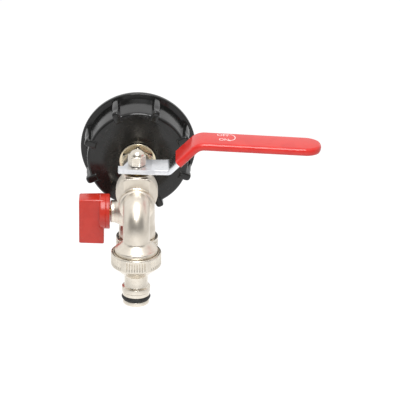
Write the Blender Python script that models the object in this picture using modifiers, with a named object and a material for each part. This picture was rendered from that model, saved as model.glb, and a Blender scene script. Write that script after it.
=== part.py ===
"""Screw cap for a bulk tank, with a ball tap, a small second valve and a hose connector.

The origin is the centre of the cap's open mouth. The inlet runs along Y: the mouth faces +Y, and the
tap stands in front of it, towards -Y. The lever points along +X, and +Z is up. Sizes are in metres.
"""

import math

import bmesh
import bpy
from mathutils import Matrix, Vector

# General
GAP = 0.0003  # clearance between two pieces that touch
FINE_GAP = 0.0002  # clearance of the sleeve and of the drives on their stems
SEGMENTS = 32  # faces around a large round piece
SMALL_SEGMENTS = 20  # faces around a small one
CAP_SEGMENTS = 40  # faces around the cap
CHAMFER = 0.0005  # broken edge of a turned piece
TOOL_MARGIN = 0.001  # how far a cutting tool reaches past the face that it opens
ROOTED = 0.0008  # how far a joined shape starts inside its neighbour
WELD_DISTANCE = 1e-6  # points nearer to each other than this are one point
EDGE_ROUND = 0.0003  # of the lever's strip
MOST_CORNER = 0.95  # of a strip's half width or thickness, the largest corner that fits
TIP_STEPS = 6  # along a strip's rounded tip
TIP_ANGLE = math.radians(86)  # where the rounded tip ends flat, just short of a quarter turn
HEX_CORNER_SHARE = 0.7  # how much of a nut's corner is turned down
HEX_FACE_SHARE = 0.98  # how far the nut's flat end reaches, of half its width across flats
HEX_MARGIN_SHARE = 0.2  # how far the turning tool reaches past the corner
SHARP_ANGLE = math.radians(32)  # an edge that bends more than this looks sharp

# Cap, measured forward from its mouth
CAP_DEPTH = 0.024
CAP_FACE_THICKNESS = 0.0035
CAP_FLANGE_RADIUS = 0.0362
CAP_FLANGE_THICKNESS = 0.003
CAP_FLANGE_PROUD = 0.0036  # how far the flange stands out from the wall
CAP_WALL_THICKNESS = 0.0025  # at the mouth
CAP_WALL_TAPER = 0.001  # how much the wall narrows towards the face
CAP_EDGE_FILLET = 0.005
CAP_RIB_COUNT = 8
CAP_RIB_WIDTH = 0.0042
CAP_RIB_SET_BACK = 0.001  # how far the ribs stay inside the flange's rim
CAP_RIB_KNOB = 0.0021  # radius of the rib's rounded front end
CAP_RIB_PROUD = 0.0009  # how far the rib's tail stands over the face
CAP_RIB_TAIL_REACH = 0.0035  # how far a rib's tail reaches in over the face
CAP_RIB_KNOB_SINK = 1.2  # of the knob's radius, from the cap's face to the knob's centre
CAP_RIB_CREST_SHARE = 0.25  # of the cap's edge fillet, where the rib's top becomes flat
CAP_RIB_ROOT_SHARE = 0.9  # of the face's thickness, where the rib's tail ends
CAP_RIB_TURN = math.radians(24.8)
CAP_THREAD_PITCH = 0.006
CAP_THREAD_DEPTH = 0.0022
CAP_THREAD_ROOT_WIDTH = 0.0042
CAP_THREAD_CREST_WIDTH = 0.0018
CAP_THREAD_START = 0.002
CAP_THREAD_STEPS = 28  # of one turn
CAP_THREAD_RUN_OUT = 5  # steps in which the ridge rises out of the wall
CAP_GASKET_WIDTH = 0.0063
CAP_GASKET_THICKNESS = 0.0026

# Inlet connector and its backnut
TAIL_RADIUS = 0.00833
TAIL_PAST_BACKNUT = 0.003
BACKNUT_ACROSS_FLATS = 0.024
BACKNUT_THICKNESS = 0.006
BACKNUT_SEAL_RADIUS = 0.0135
BACKNUT_SEAL_THICKNESS = 0.002
INLET_FLANGE_RADIUS = 0.01145
INLET_FLANGE_THICKNESS = 0.0016
INLET_HEX_ACROSS_FLATS = 0.0189
INLET_HEX_LENGTH = 0.006
INLET_SPIGOT_LENGTH = 0.0095
INLET_NECK_SHARE = 0.9  # of the hexagon's half width, the round core inside it
PORT_RADIUS = 0.0046

# Valve body and its main ball
STEM_AHEAD_OF_CAP = 0.045  # the stem's axis ahead of the cap's face
BARREL_RADIUS = 0.0091
HOUSING_RADIUS = 0.0129
FRONT_FACE_AHEAD = 0.0102  # front face ahead of the stem
FRONT_FLAT_HALF_WIDTH = 0.0078
FRONT_FACET_TURN = math.radians(34)
BOSS_RADIUS = 0.0092
BOSS_TOP = 0.0115
HOUSING_TOP_BELOW_BOSS = 0.0005
BODY_BORE_RADIUS = 0.0075
BALL_RADIUS = 0.007
SEAT_REACH = 0.0076  # from the ball's centre to the seat's back
SEAT_LAND = 0.0032  # from the ball's centre to the seat's near edge
RETAINER_LENGTH = 0.0045

# Main stem, its packing and gland, by height above the inlet axis
STEM_RADIUS = 0.0028
STEM_SHOULDER_RADIUS = 0.0039
STEM_SHOULDER_THICKNESS = 0.0011
STEM_LIP_THICKNESS = 0.0007
TANG_WIDTH = 0.0022
TANG_LENGTH = 0.0053
TANG_DEPTH = 0.0024
GLAND_RADIUS = 0.0065
GLAND_FLANGE_THICKNESS = 0.0012
GLAND_NECK_RADIUS = 0.0049
GLAND_NECK_LENGTH = 0.0011
FLATS_HALF_WIDTH = 0.0023  # of the two flats that drive the lever

# Lever, a strip bent twice
LEVER_THICKNESS = 0.003
LEVER_BACK = 0.0084  # rear edge behind the stem's axis
LEVER_FRONT = 0.009  # front edge ahead of it
LEVER_TAPER_X = 0.012  # left of here the front edge leans back
LEVER_TAPER = 0.0016  # how far it has leaned back at the left end
LEVER_LEFT_END = 0.0115
LEVER_TAB_LENGTH = 0.0032
LEVER_TAB_CORNER = 0.0022  # how far ahead of the stem the tab's slanted side starts
LEVER_SLANT_X = 0.0055
LEVER_SLANT_SHARE = 0.66  # of the way to the rear edge, where the tab's slanted side ends
LEVER_FOLD_X = 0.0198
LEVER_RISE_X = 0.0177
LEVER_SLOPE = math.radians(44.8)
LEVER_DROOP = math.radians(2.8)
LEVER_LOW_FOLD_RADIUS = 0.0028
LEVER_HIGH_FOLD_RADIUS = 0.009
SLEEVE_WALL = 0.0008
SLEEVE_SIDE = 0.0014  # how far the sleeve reaches past the strip's edges
SLEEVE_START = 0.0078  # up the slope from the low fold
SLEEVE_TIP_X = 0.1125
SLEEVE_CORNER = 0.0017

# Domed nut
NUT_ACROSS_FLATS = 0.01
NUT_TURN = math.radians(-7)  # from a flat that faces the front
NUT_HEX_HEIGHT = 0.0063
NUT_DOME_RADIUS = 0.0043
NUT_HEIGHT = 0.0098
NUT_THREAD_DEPTH = 0.007
NUT_DRILL_POINT = 0.0005

# Spout
SPOUT_AHEAD_OF_STEM = 0.026
SPOUT_RADIUS = 0.0082
SPOUT_BEND_RADIUS = 0.014
SPOUT_ROOT_DROP = 0.004
ROOT_RADIUS = 0.0108
ROOT_DROP = 0.006
ROOT_LENGTH = 0.0045
ROOT_FILLET = 0.002
ROOT_BURIED = 0.006  # how far the root reaches into the housing
SPOUT_FLARE_TOP = 0.0225  # below the inlet axis
SPOUT_FLARE_SINK = 0.0005  # how far the flare starts inside the tube
SPOUT_FLARE_LIFT = 0.0006  # how far it stands off the tube after its first step
SPOUT_FLARE_STEP = 0.0016  # height of that step
SPOUT_FLARE_LIP = 0.0012  # width of the round lip at the flare's end
SPOUT_COLLAR_TOP = 0.0283
SPOUT_COLLAR_HEIGHT = 0.0013
SPOUT_THREAD_RELIEF = 0.0001  # how far the thread stays inside the collar
SPOUT_END = 0.036

# Second branch and its small valve
BRANCH_BEHIND_STEM = 0.022
BRANCH_RADIUS = 0.011
BRANCH_DOME_DROP = 0.013
BRANCH_NECK_RADIUS = 0.0114
BRANCH_NECK_TOP = 0.036
BRANCH_END = 0.041
BRANCH_TAPER = 0.004  # height over which the branch widens to its neck
SMALL_VALVE_DROP = 0.0249
SMALL_BALL_RADIUS = 0.0065
SMALL_BORE_RADIUS = 0.007
SMALL_PORT_RADIUS = 0.0042
SMALL_SEAT_REACH = 0.007
SMALL_SEAT_LAND = 0.003
SIDE_BOSS_RADIUS = 0.007
SIDE_BOSS_END = 0.0166
SIDE_BOSS_FLARE = 0.0032
SIDE_BOSS_WAIST = (0.25, 0.3)  # of the flare, out and along, where its curve bends most
SIDE_BOSS_BURIED = (0.9, 1.6)  # of the boss's radius and of the flare, where it starts inside
SMALL_STEM_RADIUS = 0.0024
SMALL_SHOULDER_RADIUS = 0.0033
SMALL_SHOULDER_THICKNESS = 0.001
SMALL_TANG_WIDTH = 0.002
SMALL_TANG_LENGTH = 0.005
SMALL_TANG_DEPTH = 0.002
SMALL_RING_GROOVE = 0.0018
SMALL_RING_DEPTH = 0.0011
SMALL_DRIVE = 0.0032  # side of the square that drives the handle
SMALL_DRIVE_LENGTH = 0.005
SCREW_RADIUS = 0.00145
SCREW_LENGTH = 0.006
SCREW_HEAD_RADIUS = 0.0028
SCREW_HEAD_HEIGHT = 0.002
SCREW_FLAT_SHARE = 0.6  # of the head's radius, its flat top and the recess's arms
SCREW_RIM_SHARE = 0.4  # of the head's height, its straight rim
SCREW_BLADE_SHARE = 0.16  # of the head's radius, half the recess's width
SCREW_CORE = 0.00135  # radius of the screw's shank in its thread
SCREW_FLOOR = 0.0008  # thickness of the handle under the screw's head

# Red handle, by distance from the small valve's axis and from the inlet's
HUB_RADIUS = 0.011
HUB_LENGTH = 0.0065
HUB_GROOVE_WIDTH = 0.0004
HUB_GROOVE_DEPTH = 0.0003
HUB_GROOVE_FROM_END = 0.0041
PADDLE_WIDTH = 0.0155
PADDLE_OVERLAP = 0.0028  # how far the paddle covers the hub's outer end
PADDLE_HALF_THICKNESS = 0.00565
PADDLE_ABOVE = 0.0101
PADDLE_BELOW = 0.02
PADDLE_DRAFT = 0.0004
PADDLE_EDGE = 0.0012
PADDLE_WELL_RADIUS = 0.0036

# Lower outlet
OUTLET_THREAD_RADIUS = 0.0132
OUTLET_THREAD_ROOT = 0.0121
OUTLET_THREAD_PITCH = 0.001814
OUTLET_THREAD_COUNT = 5
OUTLET_LENGTH = 0.0118
OUTLET_SHOULDER = 0.0014
OUTLET_MOUTH_RADIUS = 0.0094
OUTLET_MOUTH_DEPTH = 0.009
OUTLET_CREST_SHARE = 0.2  # of the pitch, the thread's flat crest

# Hose connector, by distance below its top
CONNECTOR_TOP = 0.030  # below the inlet axis
RING_RADIUS = 0.0154
RING_WALL = 0.002
RING_RIB_DEPTH = 0.00035
RING_HEIGHT = 0.0078
RING_LIP = 0.0011
RING_GROUPS = 6
RING_RIBS_PER_GROUP = 7
RING_RIB_STEP = math.radians(6.2)
RING_BORE_DEPTH = 0.0085
NIPPLE_NECK_RADIUS = 0.00715
NIPPLE_NECK_START = 0.0158
NIPPLE_NECK_END = 0.0217
NIPPLE_NECK_FILLET = (0.0008, 0.0011, 0.0006)  # out from the neck, above and below its start
NIPPLE_COLLAR_RADIUS = 0.00875
NIPPLE_COLLAR_START = 0.0235
NIPPLE_COLLAR_END = 0.0258
NIPPLE_BODY_RADIUS = 0.0084
NIPPLE_GROOVE_START = 0.0284
NIPPLE_GROOVE_RADIUS = 0.0062
NIPPLE_TIP_RADIUS = 0.00815
NIPPLE_LENGTH = 0.0344
NIPPLE_TIP_FILLET = 0.001
NIPPLE_BORE_RADIUS = 0.0052
NIPPLE_RING_RADIUS = 0.0012  # half the O-ring's section
HOSE_WASHER_THICKNESS = 0.0018

# Directions: each turned shape is drawn along its own Z
FORWARD = Matrix.Rotation(math.radians(90), 4, "X")  # Z becomes -Y
LEFTWARD = Matrix.Rotation(math.radians(-90), 4, "Y")  # Z becomes -X
UPWARD = Matrix.Identity(4)

# Places worked out from the sizes above
CAP_WALL_RADIUS_MOUTH = CAP_FLANGE_RADIUS - CAP_FLANGE_PROUD
CAP_WALL_RADIUS_FRONT = CAP_WALL_RADIUS_MOUTH - CAP_WALL_TAPER
CAP_BORE_RADIUS = CAP_WALL_RADIUS_MOUTH - CAP_WALL_THICKNESS
CAP_RIB_RADIUS = CAP_FLANGE_RADIUS - CAP_RIB_SET_BACK
CAP_RIB_TAIL_RADIUS = CAP_WALL_RADIUS_FRONT - CAP_RIB_TAIL_REACH
STEM_FORWARD = CAP_DEPTH + STEM_AHEAD_OF_CAP
SPOUT_FORWARD = STEM_FORWARD + SPOUT_AHEAD_OF_STEM
BRANCH_FORWARD = STEM_FORWARD - BRANCH_BEHIND_STEM
RING_BORE_RADIUS = RING_RADIUS - RING_WALL
SPOUT_COLLAR_RADIUS = RING_BORE_RADIUS - GAP
SPOUT_THREAD_RADIUS = SPOUT_COLLAR_RADIUS - SPOUT_THREAD_RELIEF
INLET_FLANGE_BACK = CAP_DEPTH + GAP
INLET_HEX_BACK = INLET_FLANGE_BACK + INLET_FLANGE_THICKNESS
INLET_HEX_FRONT = INLET_HEX_BACK + INLET_HEX_LENGTH
BODY_BACK = INLET_HEX_FRONT + GAP
CAP_INNER_FACE = CAP_DEPTH - CAP_FACE_THICKNESS
CAP_GASKET_BACK = CAP_INNER_FACE - GAP - CAP_GASKET_THICKNESS
CAP_THREAD_RUN = CAP_GASKET_BACK - GAP - CAP_THREAD_START - CAP_THREAD_ROOT_WIDTH
BACKNUT_FRONT = CAP_INNER_FACE - 2 * GAP - BACKNUT_SEAL_THICKNESS
BACKNUT_BACK = BACKNUT_FRONT - BACKNUT_THICKNESS
TAIL_END = BACKNUT_BACK - TAIL_PAST_BACKNUT
TAIL_CLEAR_RADIUS = TAIL_RADIUS + GAP
BODY_FRONT = STEM_FORWARD + FRONT_FACE_AHEAD
SEAT_SEALING_RADIUS = BALL_RADIUS + GAP
STEM_SHOULDER_BOTTOM = BALL_RADIUS + GAP
STEM_SHOULDER_TOP = STEM_SHOULDER_BOTTOM + STEM_SHOULDER_THICKNESS
STEM_LIP_BOTTOM = STEM_SHOULDER_TOP + GAP
STEM_LIP_TOP = STEM_LIP_BOTTOM + STEM_LIP_THICKNESS
GLAND_SEAT = BOSS_TOP + GAP
GLAND_TOP = GLAND_SEAT + GLAND_FLANGE_THICKNESS
LEVER_BOTTOM = GLAND_TOP + GAP
LEVER_TOP = LEVER_BOTTOM + LEVER_THICKNESS
NUT_BOTTOM = LEVER_TOP + GAP
LEVER_HALF_WIDTH = (LEVER_BACK + LEVER_FRONT) / 2
LEVER_CENTRE_Y = -STEM_FORWARD + (LEVER_BACK - LEVER_FRONT) / 2
HUB_START = SIDE_BOSS_END + GAP
HUB_END = HUB_START + HUB_LENGTH
PADDLE_START = HUB_END - PADDLE_OVERLAP
PADDLE_END = PADDLE_START + PADDLE_WIDTH
SMALL_SHOULDER_START = SMALL_BALL_RADIUS + GAP
SMALL_SHOULDER_END = SMALL_SHOULDER_START + SMALL_SHOULDER_THICKNESS
SMALL_LIP_START = SMALL_SHOULDER_END + GAP
OUTLET_TOP = BRANCH_END + GAP
NIPPLE_GROOVE_WIDTH = 2 * NIPPLE_RING_RADIUS + 2 * GAP


def clear_scene():
    for obj in list(bpy.data.objects):
        bpy.data.objects.remove(obj, do_unlink=True)


def new_collection(name):
    collection = bpy.data.collections.new(name)
    bpy.context.scene.collection.children.link(collection)
    return collection


def new_material(name, colour, roughness, metallic):
    material = bpy.data.materials.new(name)
    material.use_nodes = True
    shader = material.node_tree.nodes["Principled BSDF"]
    shader.inputs["Base Color"].default_value = (*colour, 1)
    shader.inputs["Roughness"].default_value = roughness
    shader.inputs["Metallic"].default_value = metallic
    return material


def new_object(name, mesh, place):
    """Put a mesh in the scene as an object, at its place in the world."""
    obj = bpy.data.objects.new(name, mesh)
    obj.matrix_world = place
    PARTS.objects.link(obj)
    return obj


def make_real(obj):
    """Replace an object's mesh by the one that its modifiers or its curve make."""
    bpy.context.view_layer.update()
    graph = bpy.context.evaluated_depsgraph_get()
    mesh = bpy.data.meshes.new_from_object(obj.evaluated_get(graph))
    if obj.type == "CURVE":
        bm = bmesh.new()
        bm.from_mesh(mesh)
        bmesh.ops.remove_doubles(bm, verts=bm.verts, dist=WELD_DISTANCE)
        bm.to_mesh(mesh)
        bm.free()
        solid = bpy.data.objects.new(obj.name, mesh)
        solid.matrix_world = obj.matrix_world
        PARTS.objects.link(solid)
        name = obj.name
        bpy.data.objects.remove(obj)
        solid.name = name
        return solid
    obj.modifiers.clear()
    obj.data = mesh
    return obj


def combine(obj, tool, operation):
    """Cut, join or intersect an object with a tool, which then becomes a hidden helper."""
    modifier = obj.modifiers.new(f"{operation.lower()} {tool.name}", "BOOLEAN")
    modifier.operation = operation
    modifier.object = tool
    modifier.solver = "EXACT"
    PARTS.objects.unlink(tool)
    TOOLS.objects.link(tool)
    tool.hide_render = True
    tool.display_type = "WIRE"


def cut(obj, *tools):
    for tool in tools:
        combine(obj, tool, "DIFFERENCE")


def join(obj, *tools):
    for tool in tools:
        combine(obj, tool, "UNION")


def complete(obj, material):
    """Give a finished piece its name as a mesh, its smooth shading and its material."""
    solid = make_real(obj)
    solid.data.name = solid.name
    solid.data.materials.clear()
    solid.data.materials.append(material)
    solid.data.shade_smooth()
    solid.data.set_sharp_from_angle(angle=SHARP_ANGLE)
    return solid


def arc(centre_radius, centre_height, radius, start, end, steps):
    """Points of a profile's arc, from one angle to another in degrees, measured up from +X."""
    points = []
    for step in range(steps + 1):
        angle = math.radians(start + (end - start) * step / steps)
        points.append((centre_radius + radius * math.cos(angle), centre_height + radius * math.sin(angle)))
    return points


def turned(name, profile, place=UPWARD, segments=SEGMENTS):
    """Turn a profile of (radius, height) about Z. It runs down its outer side.

    A profile whose ends are on the axis is a solid bar, and any other is closed into a ring.
    """
    mesh = bpy.data.meshes.new(name)
    vertices = [(radius, 0, height) for radius, height in profile]
    edges = [(i, i + 1) for i in range(len(profile) - 1)]
    if profile[0][0] > 0:
        edges.append((len(profile) - 1, 0))
    mesh.from_pydata(vertices, edges, [])
    obj = new_object(name, mesh, place)
    screw = obj.modifiers.new("turn", "SCREW")
    screw.axis = "Z"
    screw.steps = segments
    screw.render_steps = segments
    screw.use_merge_vertices = True
    screw.merge_threshold = WELD_DISTANCE
    return make_real(obj)


def bar(name, radius, low, high, place=UPWARD, segments=SMALL_SEGMENTS):
    return turned(name, [(0, high), (radius, high), (radius, low), (0, low)], place, segments)


def block(name, low, high, place=UPWARD):
    """A box between two corners, in the frame of its place."""
    mesh = bpy.data.meshes.new(name)
    bm = bmesh.new()
    bmesh.ops.create_cube(bm, size=1)
    size = Vector(high) - Vector(low)
    bmesh.ops.scale(bm, vec=size, verts=bm.verts)
    bmesh.ops.translate(bm, vec=Vector(low) + size / 2, verts=bm.verts)
    bm.to_mesh(mesh)
    bm.free()
    return new_object(name, mesh, place)


def hexagon(name, across_flats, low, high, place=UPWARD, turn=0.0):
    """A hexagonal prism along Z, with a corner on +X when turn is 0."""
    mesh = bpy.data.meshes.new(name)
    bm = bmesh.new()
    corner_radius = across_flats / 2 / math.cos(math.radians(30))
    bmesh.ops.create_cone(
        bm, cap_ends=True, segments=6, radius1=corner_radius, radius2=corner_radius, depth=high - low
    )
    bmesh.ops.translate(bm, vec=(0, 0, (high + low) / 2), verts=bm.verts)
    # create_cone starts at +Y, so a twelfth of a turn brings a corner to +X.
    bmesh.ops.rotate(bm, matrix=Matrix.Rotation(math.radians(30) + turn, 3, "Z"), verts=bm.verts)
    bm.to_mesh(mesh)
    bm.free()
    return new_object(name, mesh, place)


def chamfered_hexagon(name, across_flats, low, high, place=UPWARD, turn=0.0, ends=("low", "high")):
    """A nut's hexagon, with its corners turned down at the ends that are named."""
    prism = hexagon(name, across_flats, low, high, place, turn)
    corner_radius = across_flats / 2 / math.cos(math.radians(30))
    margin = corner_radius * HEX_MARGIN_SHARE
    depth = (corner_radius - across_flats / 2) * HEX_CORNER_SHARE + margin / 2
    face_radius = across_flats / 2 * HEX_FACE_SHARE
    reach = corner_radius + margin
    if "high" in ends:
        profile = [(0, high), (face_radius, high), (reach, high - depth)]
    else:
        profile = [(0, high + margin), (reach, high + margin)]
    if "low" in ends:
        profile += [(reach, low + depth), (face_radius, low), (0, low)]
    else:
        profile += [(reach, low - margin), (0, low - margin)]
    combine(prism, turned(f"{name} corners", profile, place), "INTERSECT")
    return make_real(prism)


def extruded(name, outline, thickness, place=UPWARD):
    """A flat outline in XY, extruded by half its thickness to each side."""
    curve = bpy.data.curves.new(name, "CURVE")
    curve.dimensions = "2D"
    curve.fill_mode = "BOTH"
    curve.extrude = thickness / 2
    spline = curve.splines.new("POLY")
    spline.points.add(len(outline) - 1)
    for point, (x, y) in zip(spline.points, outline):
        point.co = (x, y, 0, 1)
    spline.use_cyclic_u = True
    return make_real(new_object(name, curve, place))


def tube(name, points, radius):
    """A round bar along a path."""
    curve = bpy.data.curves.new(name, "CURVE")
    curve.dimensions = "3D"
    curve.bevel_depth = radius
    curve.bevel_resolution = 8
    curve.use_fill_caps = True
    spline = curve.splines.new("POLY")
    spline.points.add(len(points) - 1)
    for point, place in zip(spline.points, points):
        point.co = (*place, 1)
    return make_real(new_object(name, curve, UPWARD))


def loft(name, rings):
    """A solid through closed rings of points, with a flat end on the first and the last."""
    mesh = bpy.data.meshes.new(name)
    bm = bmesh.new()
    loops = [[bm.verts.new(point) for point in ring] for ring in rings]
    for near, far in zip(loops, loops[1:]):
        for i in range(len(near)):
            j = (i + 1) % len(near)
            bm.faces.new((near[i], near[j], far[j], far[i]))
    bm.faces.new(reversed(loops[0]))
    bm.faces.new(loops[-1])
    bmesh.ops.recalc_face_normals(bm, faces=bm.faces)
    bm.to_mesh(mesh)
    bm.free()
    return new_object(name, mesh, UPWARD)


def at(forward, height=0.0):
    """A place on the plane of symmetry, by its distance in front of the cap's mouth."""
    return Matrix.Translation((0, -forward, height))


def thread_ridge(name):
    """The cap's inner thread: a helical ridge that rises out of the wall and sinks back into it."""
    steps = math.floor(CAP_THREAD_RUN / CAP_THREAD_PITCH * CAP_THREAD_STEPS)
    rooted = CAP_BORE_RADIUS + ROOTED / 2
    buried = CAP_BORE_RADIUS + ROOTED / 4
    crest = CAP_BORE_RADIUS - CAP_THREAD_DEPTH
    rings = []
    for step in range(steps + 1):
        angle = 2 * math.pi * step / CAP_THREAD_STEPS
        rise = min(1.0, step / CAP_THREAD_RUN_OUT, (steps - step) / CAP_THREAD_RUN_OUT)
        top = buried + (crest - buried) * rise
        centre = CAP_THREAD_START + CAP_THREAD_ROOT_WIDTH / 2 + CAP_THREAD_PITCH * step / CAP_THREAD_STEPS
        corners = (
            (rooted, centre - CAP_THREAD_ROOT_WIDTH / 2),
            (top, centre - CAP_THREAD_CREST_WIDTH / 2),
            (top, centre + CAP_THREAD_CREST_WIDTH / 2),
            (rooted, centre + CAP_THREAD_ROOT_WIDTH / 2),
        )
        rings.append([FORWARD @ Vector((r * math.cos(angle), r * math.sin(angle), z)) for r, z in corners])
    return loft(name, rings)


def cap_rib(index):
    """One grip rib: a bar along the wall with a rounded front end and a tail over the face's edge."""
    back = CAP_FLANGE_THICKNESS / 2
    front = CAP_DEPTH + CAP_RIB_PROUD
    buried = CAP_BORE_RADIUS + ROOTED
    knob = CAP_RIB_KNOB
    outline = [(buried, back), (CAP_RIB_RADIUS, back)]
    outline += arc(CAP_RIB_RADIUS - knob, CAP_DEPTH - knob * CAP_RIB_KNOB_SINK, knob, 0, 80, 3)
    outline.append((CAP_WALL_RADIUS_FRONT - CAP_EDGE_FILLET * CAP_RIB_CREST_SHARE, front))
    outline += arc(CAP_RIB_TAIL_RADIUS + knob / 2, front - knob / 2, knob / 2, 90, 180, 2)
    outline.append((CAP_RIB_TAIL_RADIUS, CAP_DEPTH - CAP_FACE_THICKNESS / 2))
    outline.append((buried, CAP_DEPTH - CAP_FACE_THICKNESS * CAP_RIB_ROOT_SHARE))
    angle = CAP_RIB_TURN + 2 * math.pi * index / CAP_RIB_COUNT
    upright = Matrix.Rotation(math.radians(90), 4, "X")
    place = FORWARD @ Matrix.Rotation(angle, 4, "Z") @ upright
    return extruded(f"cap rib {index + 1}", outline, CAP_RIB_WIDTH, place)


def make_cap():
    fillet_centre = CAP_WALL_RADIUS_FRONT - CAP_EDGE_FILLET
    profile = [(TAIL_CLEAR_RADIUS, CAP_DEPTH)]
    profile += arc(fillet_centre, CAP_DEPTH - CAP_EDGE_FILLET, CAP_EDGE_FILLET, 90, 0, 4)
    profile += [
        (CAP_WALL_RADIUS_MOUTH, CAP_FLANGE_THICKNESS),
        (CAP_FLANGE_RADIUS - CHAMFER, CAP_FLANGE_THICKNESS),
        (CAP_FLANGE_RADIUS, CAP_FLANGE_THICKNESS - CHAMFER),
        (CAP_FLANGE_RADIUS, CHAMFER),
        (CAP_FLANGE_RADIUS - CHAMFER, 0),
        (CAP_BORE_RADIUS + CHAMFER, 0),
        (CAP_BORE_RADIUS, CHAMFER),
        (CAP_BORE_RADIUS, CAP_INNER_FACE),
        (TAIL_CLEAR_RADIUS, CAP_INNER_FACE),
    ]
    cap = turned("cap", profile, FORWARD, CAP_SEGMENTS)
    join(cap, *[cap_rib(index) for index in range(CAP_RIB_COUNT)])
    join(cap, thread_ridge("cap thread"))
    complete(cap, BLACK_PLASTIC)


def ring(name, inner, outer, low, high, place=UPWARD, segments=SEGMENTS):
    """A flat ring along Z between two heights."""
    return turned(name, [(inner, high), (outer, high), (outer, low), (inner, low)], place, segments)


def make_cap_seals():
    front = CAP_INNER_FACE - GAP
    gasket_outer = CAP_BORE_RADIUS - GAP
    gasket_inner = gasket_outer - CAP_GASKET_WIDTH
    gasket = ring("cap_gasket", gasket_inner, gasket_outer, CAP_GASKET_BACK, front, FORWARD)
    complete(gasket, BLACK_RUBBER)
    seal_back = front - BACKNUT_SEAL_THICKNESS
    seal = ring("backnut_seal", TAIL_CLEAR_RADIUS, BACKNUT_SEAL_RADIUS, seal_back, front, FORWARD)
    complete(seal, BLACK_RUBBER)


def make_backnut():
    nut = chamfered_hexagon("backnut", BACKNUT_ACROSS_FLATS, BACKNUT_BACK, BACKNUT_FRONT, FORWARD)
    low = BACKNUT_BACK - TOOL_MARGIN
    high = BACKNUT_FRONT + TOOL_MARGIN
    cut(nut, bar("backnut thread", TAIL_CLEAR_RADIUS, low, high, FORWARD))
    complete(nut, BRASS)


def make_inlet_connector():
    spigot_end = BODY_BACK + INLET_SPIGOT_LENGTH
    spigot_radius = BODY_BORE_RADIUS - GAP
    neck_radius = INLET_HEX_ACROSS_FLATS / 2 * INLET_NECK_SHARE
    profile = [
        (PORT_RADIUS, spigot_end),
        (spigot_radius - CHAMFER, spigot_end),
        (spigot_radius, spigot_end - CHAMFER),
        (spigot_radius, INLET_HEX_FRONT - CHAMFER),
        (neck_radius, INLET_HEX_FRONT - CHAMFER),
        (neck_radius, INLET_HEX_BACK),
        (INLET_FLANGE_RADIUS - CHAMFER, INLET_HEX_BACK),
        (INLET_FLANGE_RADIUS, INLET_HEX_BACK - CHAMFER),
        (INLET_FLANGE_RADIUS, INLET_FLANGE_BACK),
        (TAIL_RADIUS, INLET_FLANGE_BACK),
        (TAIL_RADIUS, TAIL_END + CHAMFER),
        (TAIL_RADIUS - CHAMFER, TAIL_END),
        (PORT_RADIUS, TAIL_END),
    ]
    connector = turned("inlet_connector", profile, FORWARD)
    flats = chamfered_hexagon(
        "connector hexagon",
        INLET_HEX_ACROSS_FLATS,
        INLET_HEX_BACK - INLET_FLANGE_THICKNESS / 2,
        INLET_HEX_FRONT,
        FORWARD,
        turn=math.radians(30),
        ends=("high",),
    )
    cut(flats, bar("hexagon bore", BODY_BORE_RADIUS - 2 * GAP, 0, BODY_BACK + TOOL_MARGIN, FORWARD))
    join(connector, make_real(flats))
    complete(connector, NICKEL)


def spout_path(drop_to):
    """The spout's centre line: forward from the housing, round a quarter bend, then straight down."""
    bend_start = SPOUT_FORWARD - SPOUT_BEND_RADIUS
    bend_centre = -SPOUT_ROOT_DROP - SPOUT_BEND_RADIUS
    steps = 8
    points = [(0, -STEM_FORWARD - SEAT_REACH, -SPOUT_ROOT_DROP)]
    for step in range(steps + 1):
        angle = math.pi / 2 * step / steps
        forward = bend_start + SPOUT_BEND_RADIUS * math.sin(angle)
        points.append((0, -forward, bend_centre + SPOUT_BEND_RADIUS * math.cos(angle)))
    points.append((0, -SPOUT_FORWARD, -drop_to))
    return points


def make_housing():
    """The casting's barrel, round ball housing and flat front, before its branches are joined on."""
    sphere_start = math.degrees(math.asin(BARREL_RADIUS / HOUSING_RADIUS))
    profile = [(0, BODY_FRONT), (HOUSING_RADIUS - CHAMFER, BODY_FRONT), (HOUSING_RADIUS, BODY_FRONT - CHAMFER)]
    profile += arc(0, STEM_FORWARD, HOUSING_RADIUS, 0, sphere_start - 90, 5)
    profile += [(BARREL_RADIUS, BODY_BACK + CHAMFER), (BARREL_RADIUS - CHAMFER, BODY_BACK), (0, BODY_BACK)]
    housing = turned("valve_body", profile, FORWARD)
    reach = 2 * HOUSING_RADIUS
    flat = BOSS_TOP - HOUSING_TOP_BELOW_BOSS
    top = block("flat top", (-reach, -reach, flat), (reach, reach, flat + reach), at(STEM_FORWARD))
    cut(housing, top)
    for side in (-1, 1):
        corner = Matrix.Translation((side * FRONT_FLAT_HALF_WIDTH, -BODY_FRONT, 0))
        facet = corner @ Matrix.Rotation(side * FRONT_FACET_TURN, 4, "Z")
        name = f"front facet {'left' if side < 0 else 'right'}"
        low = (min(0, side * reach), -reach, -reach)
        cut(housing, block(name, low, (max(0, side * reach), 0, reach), facet))
    return make_real(housing)


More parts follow.
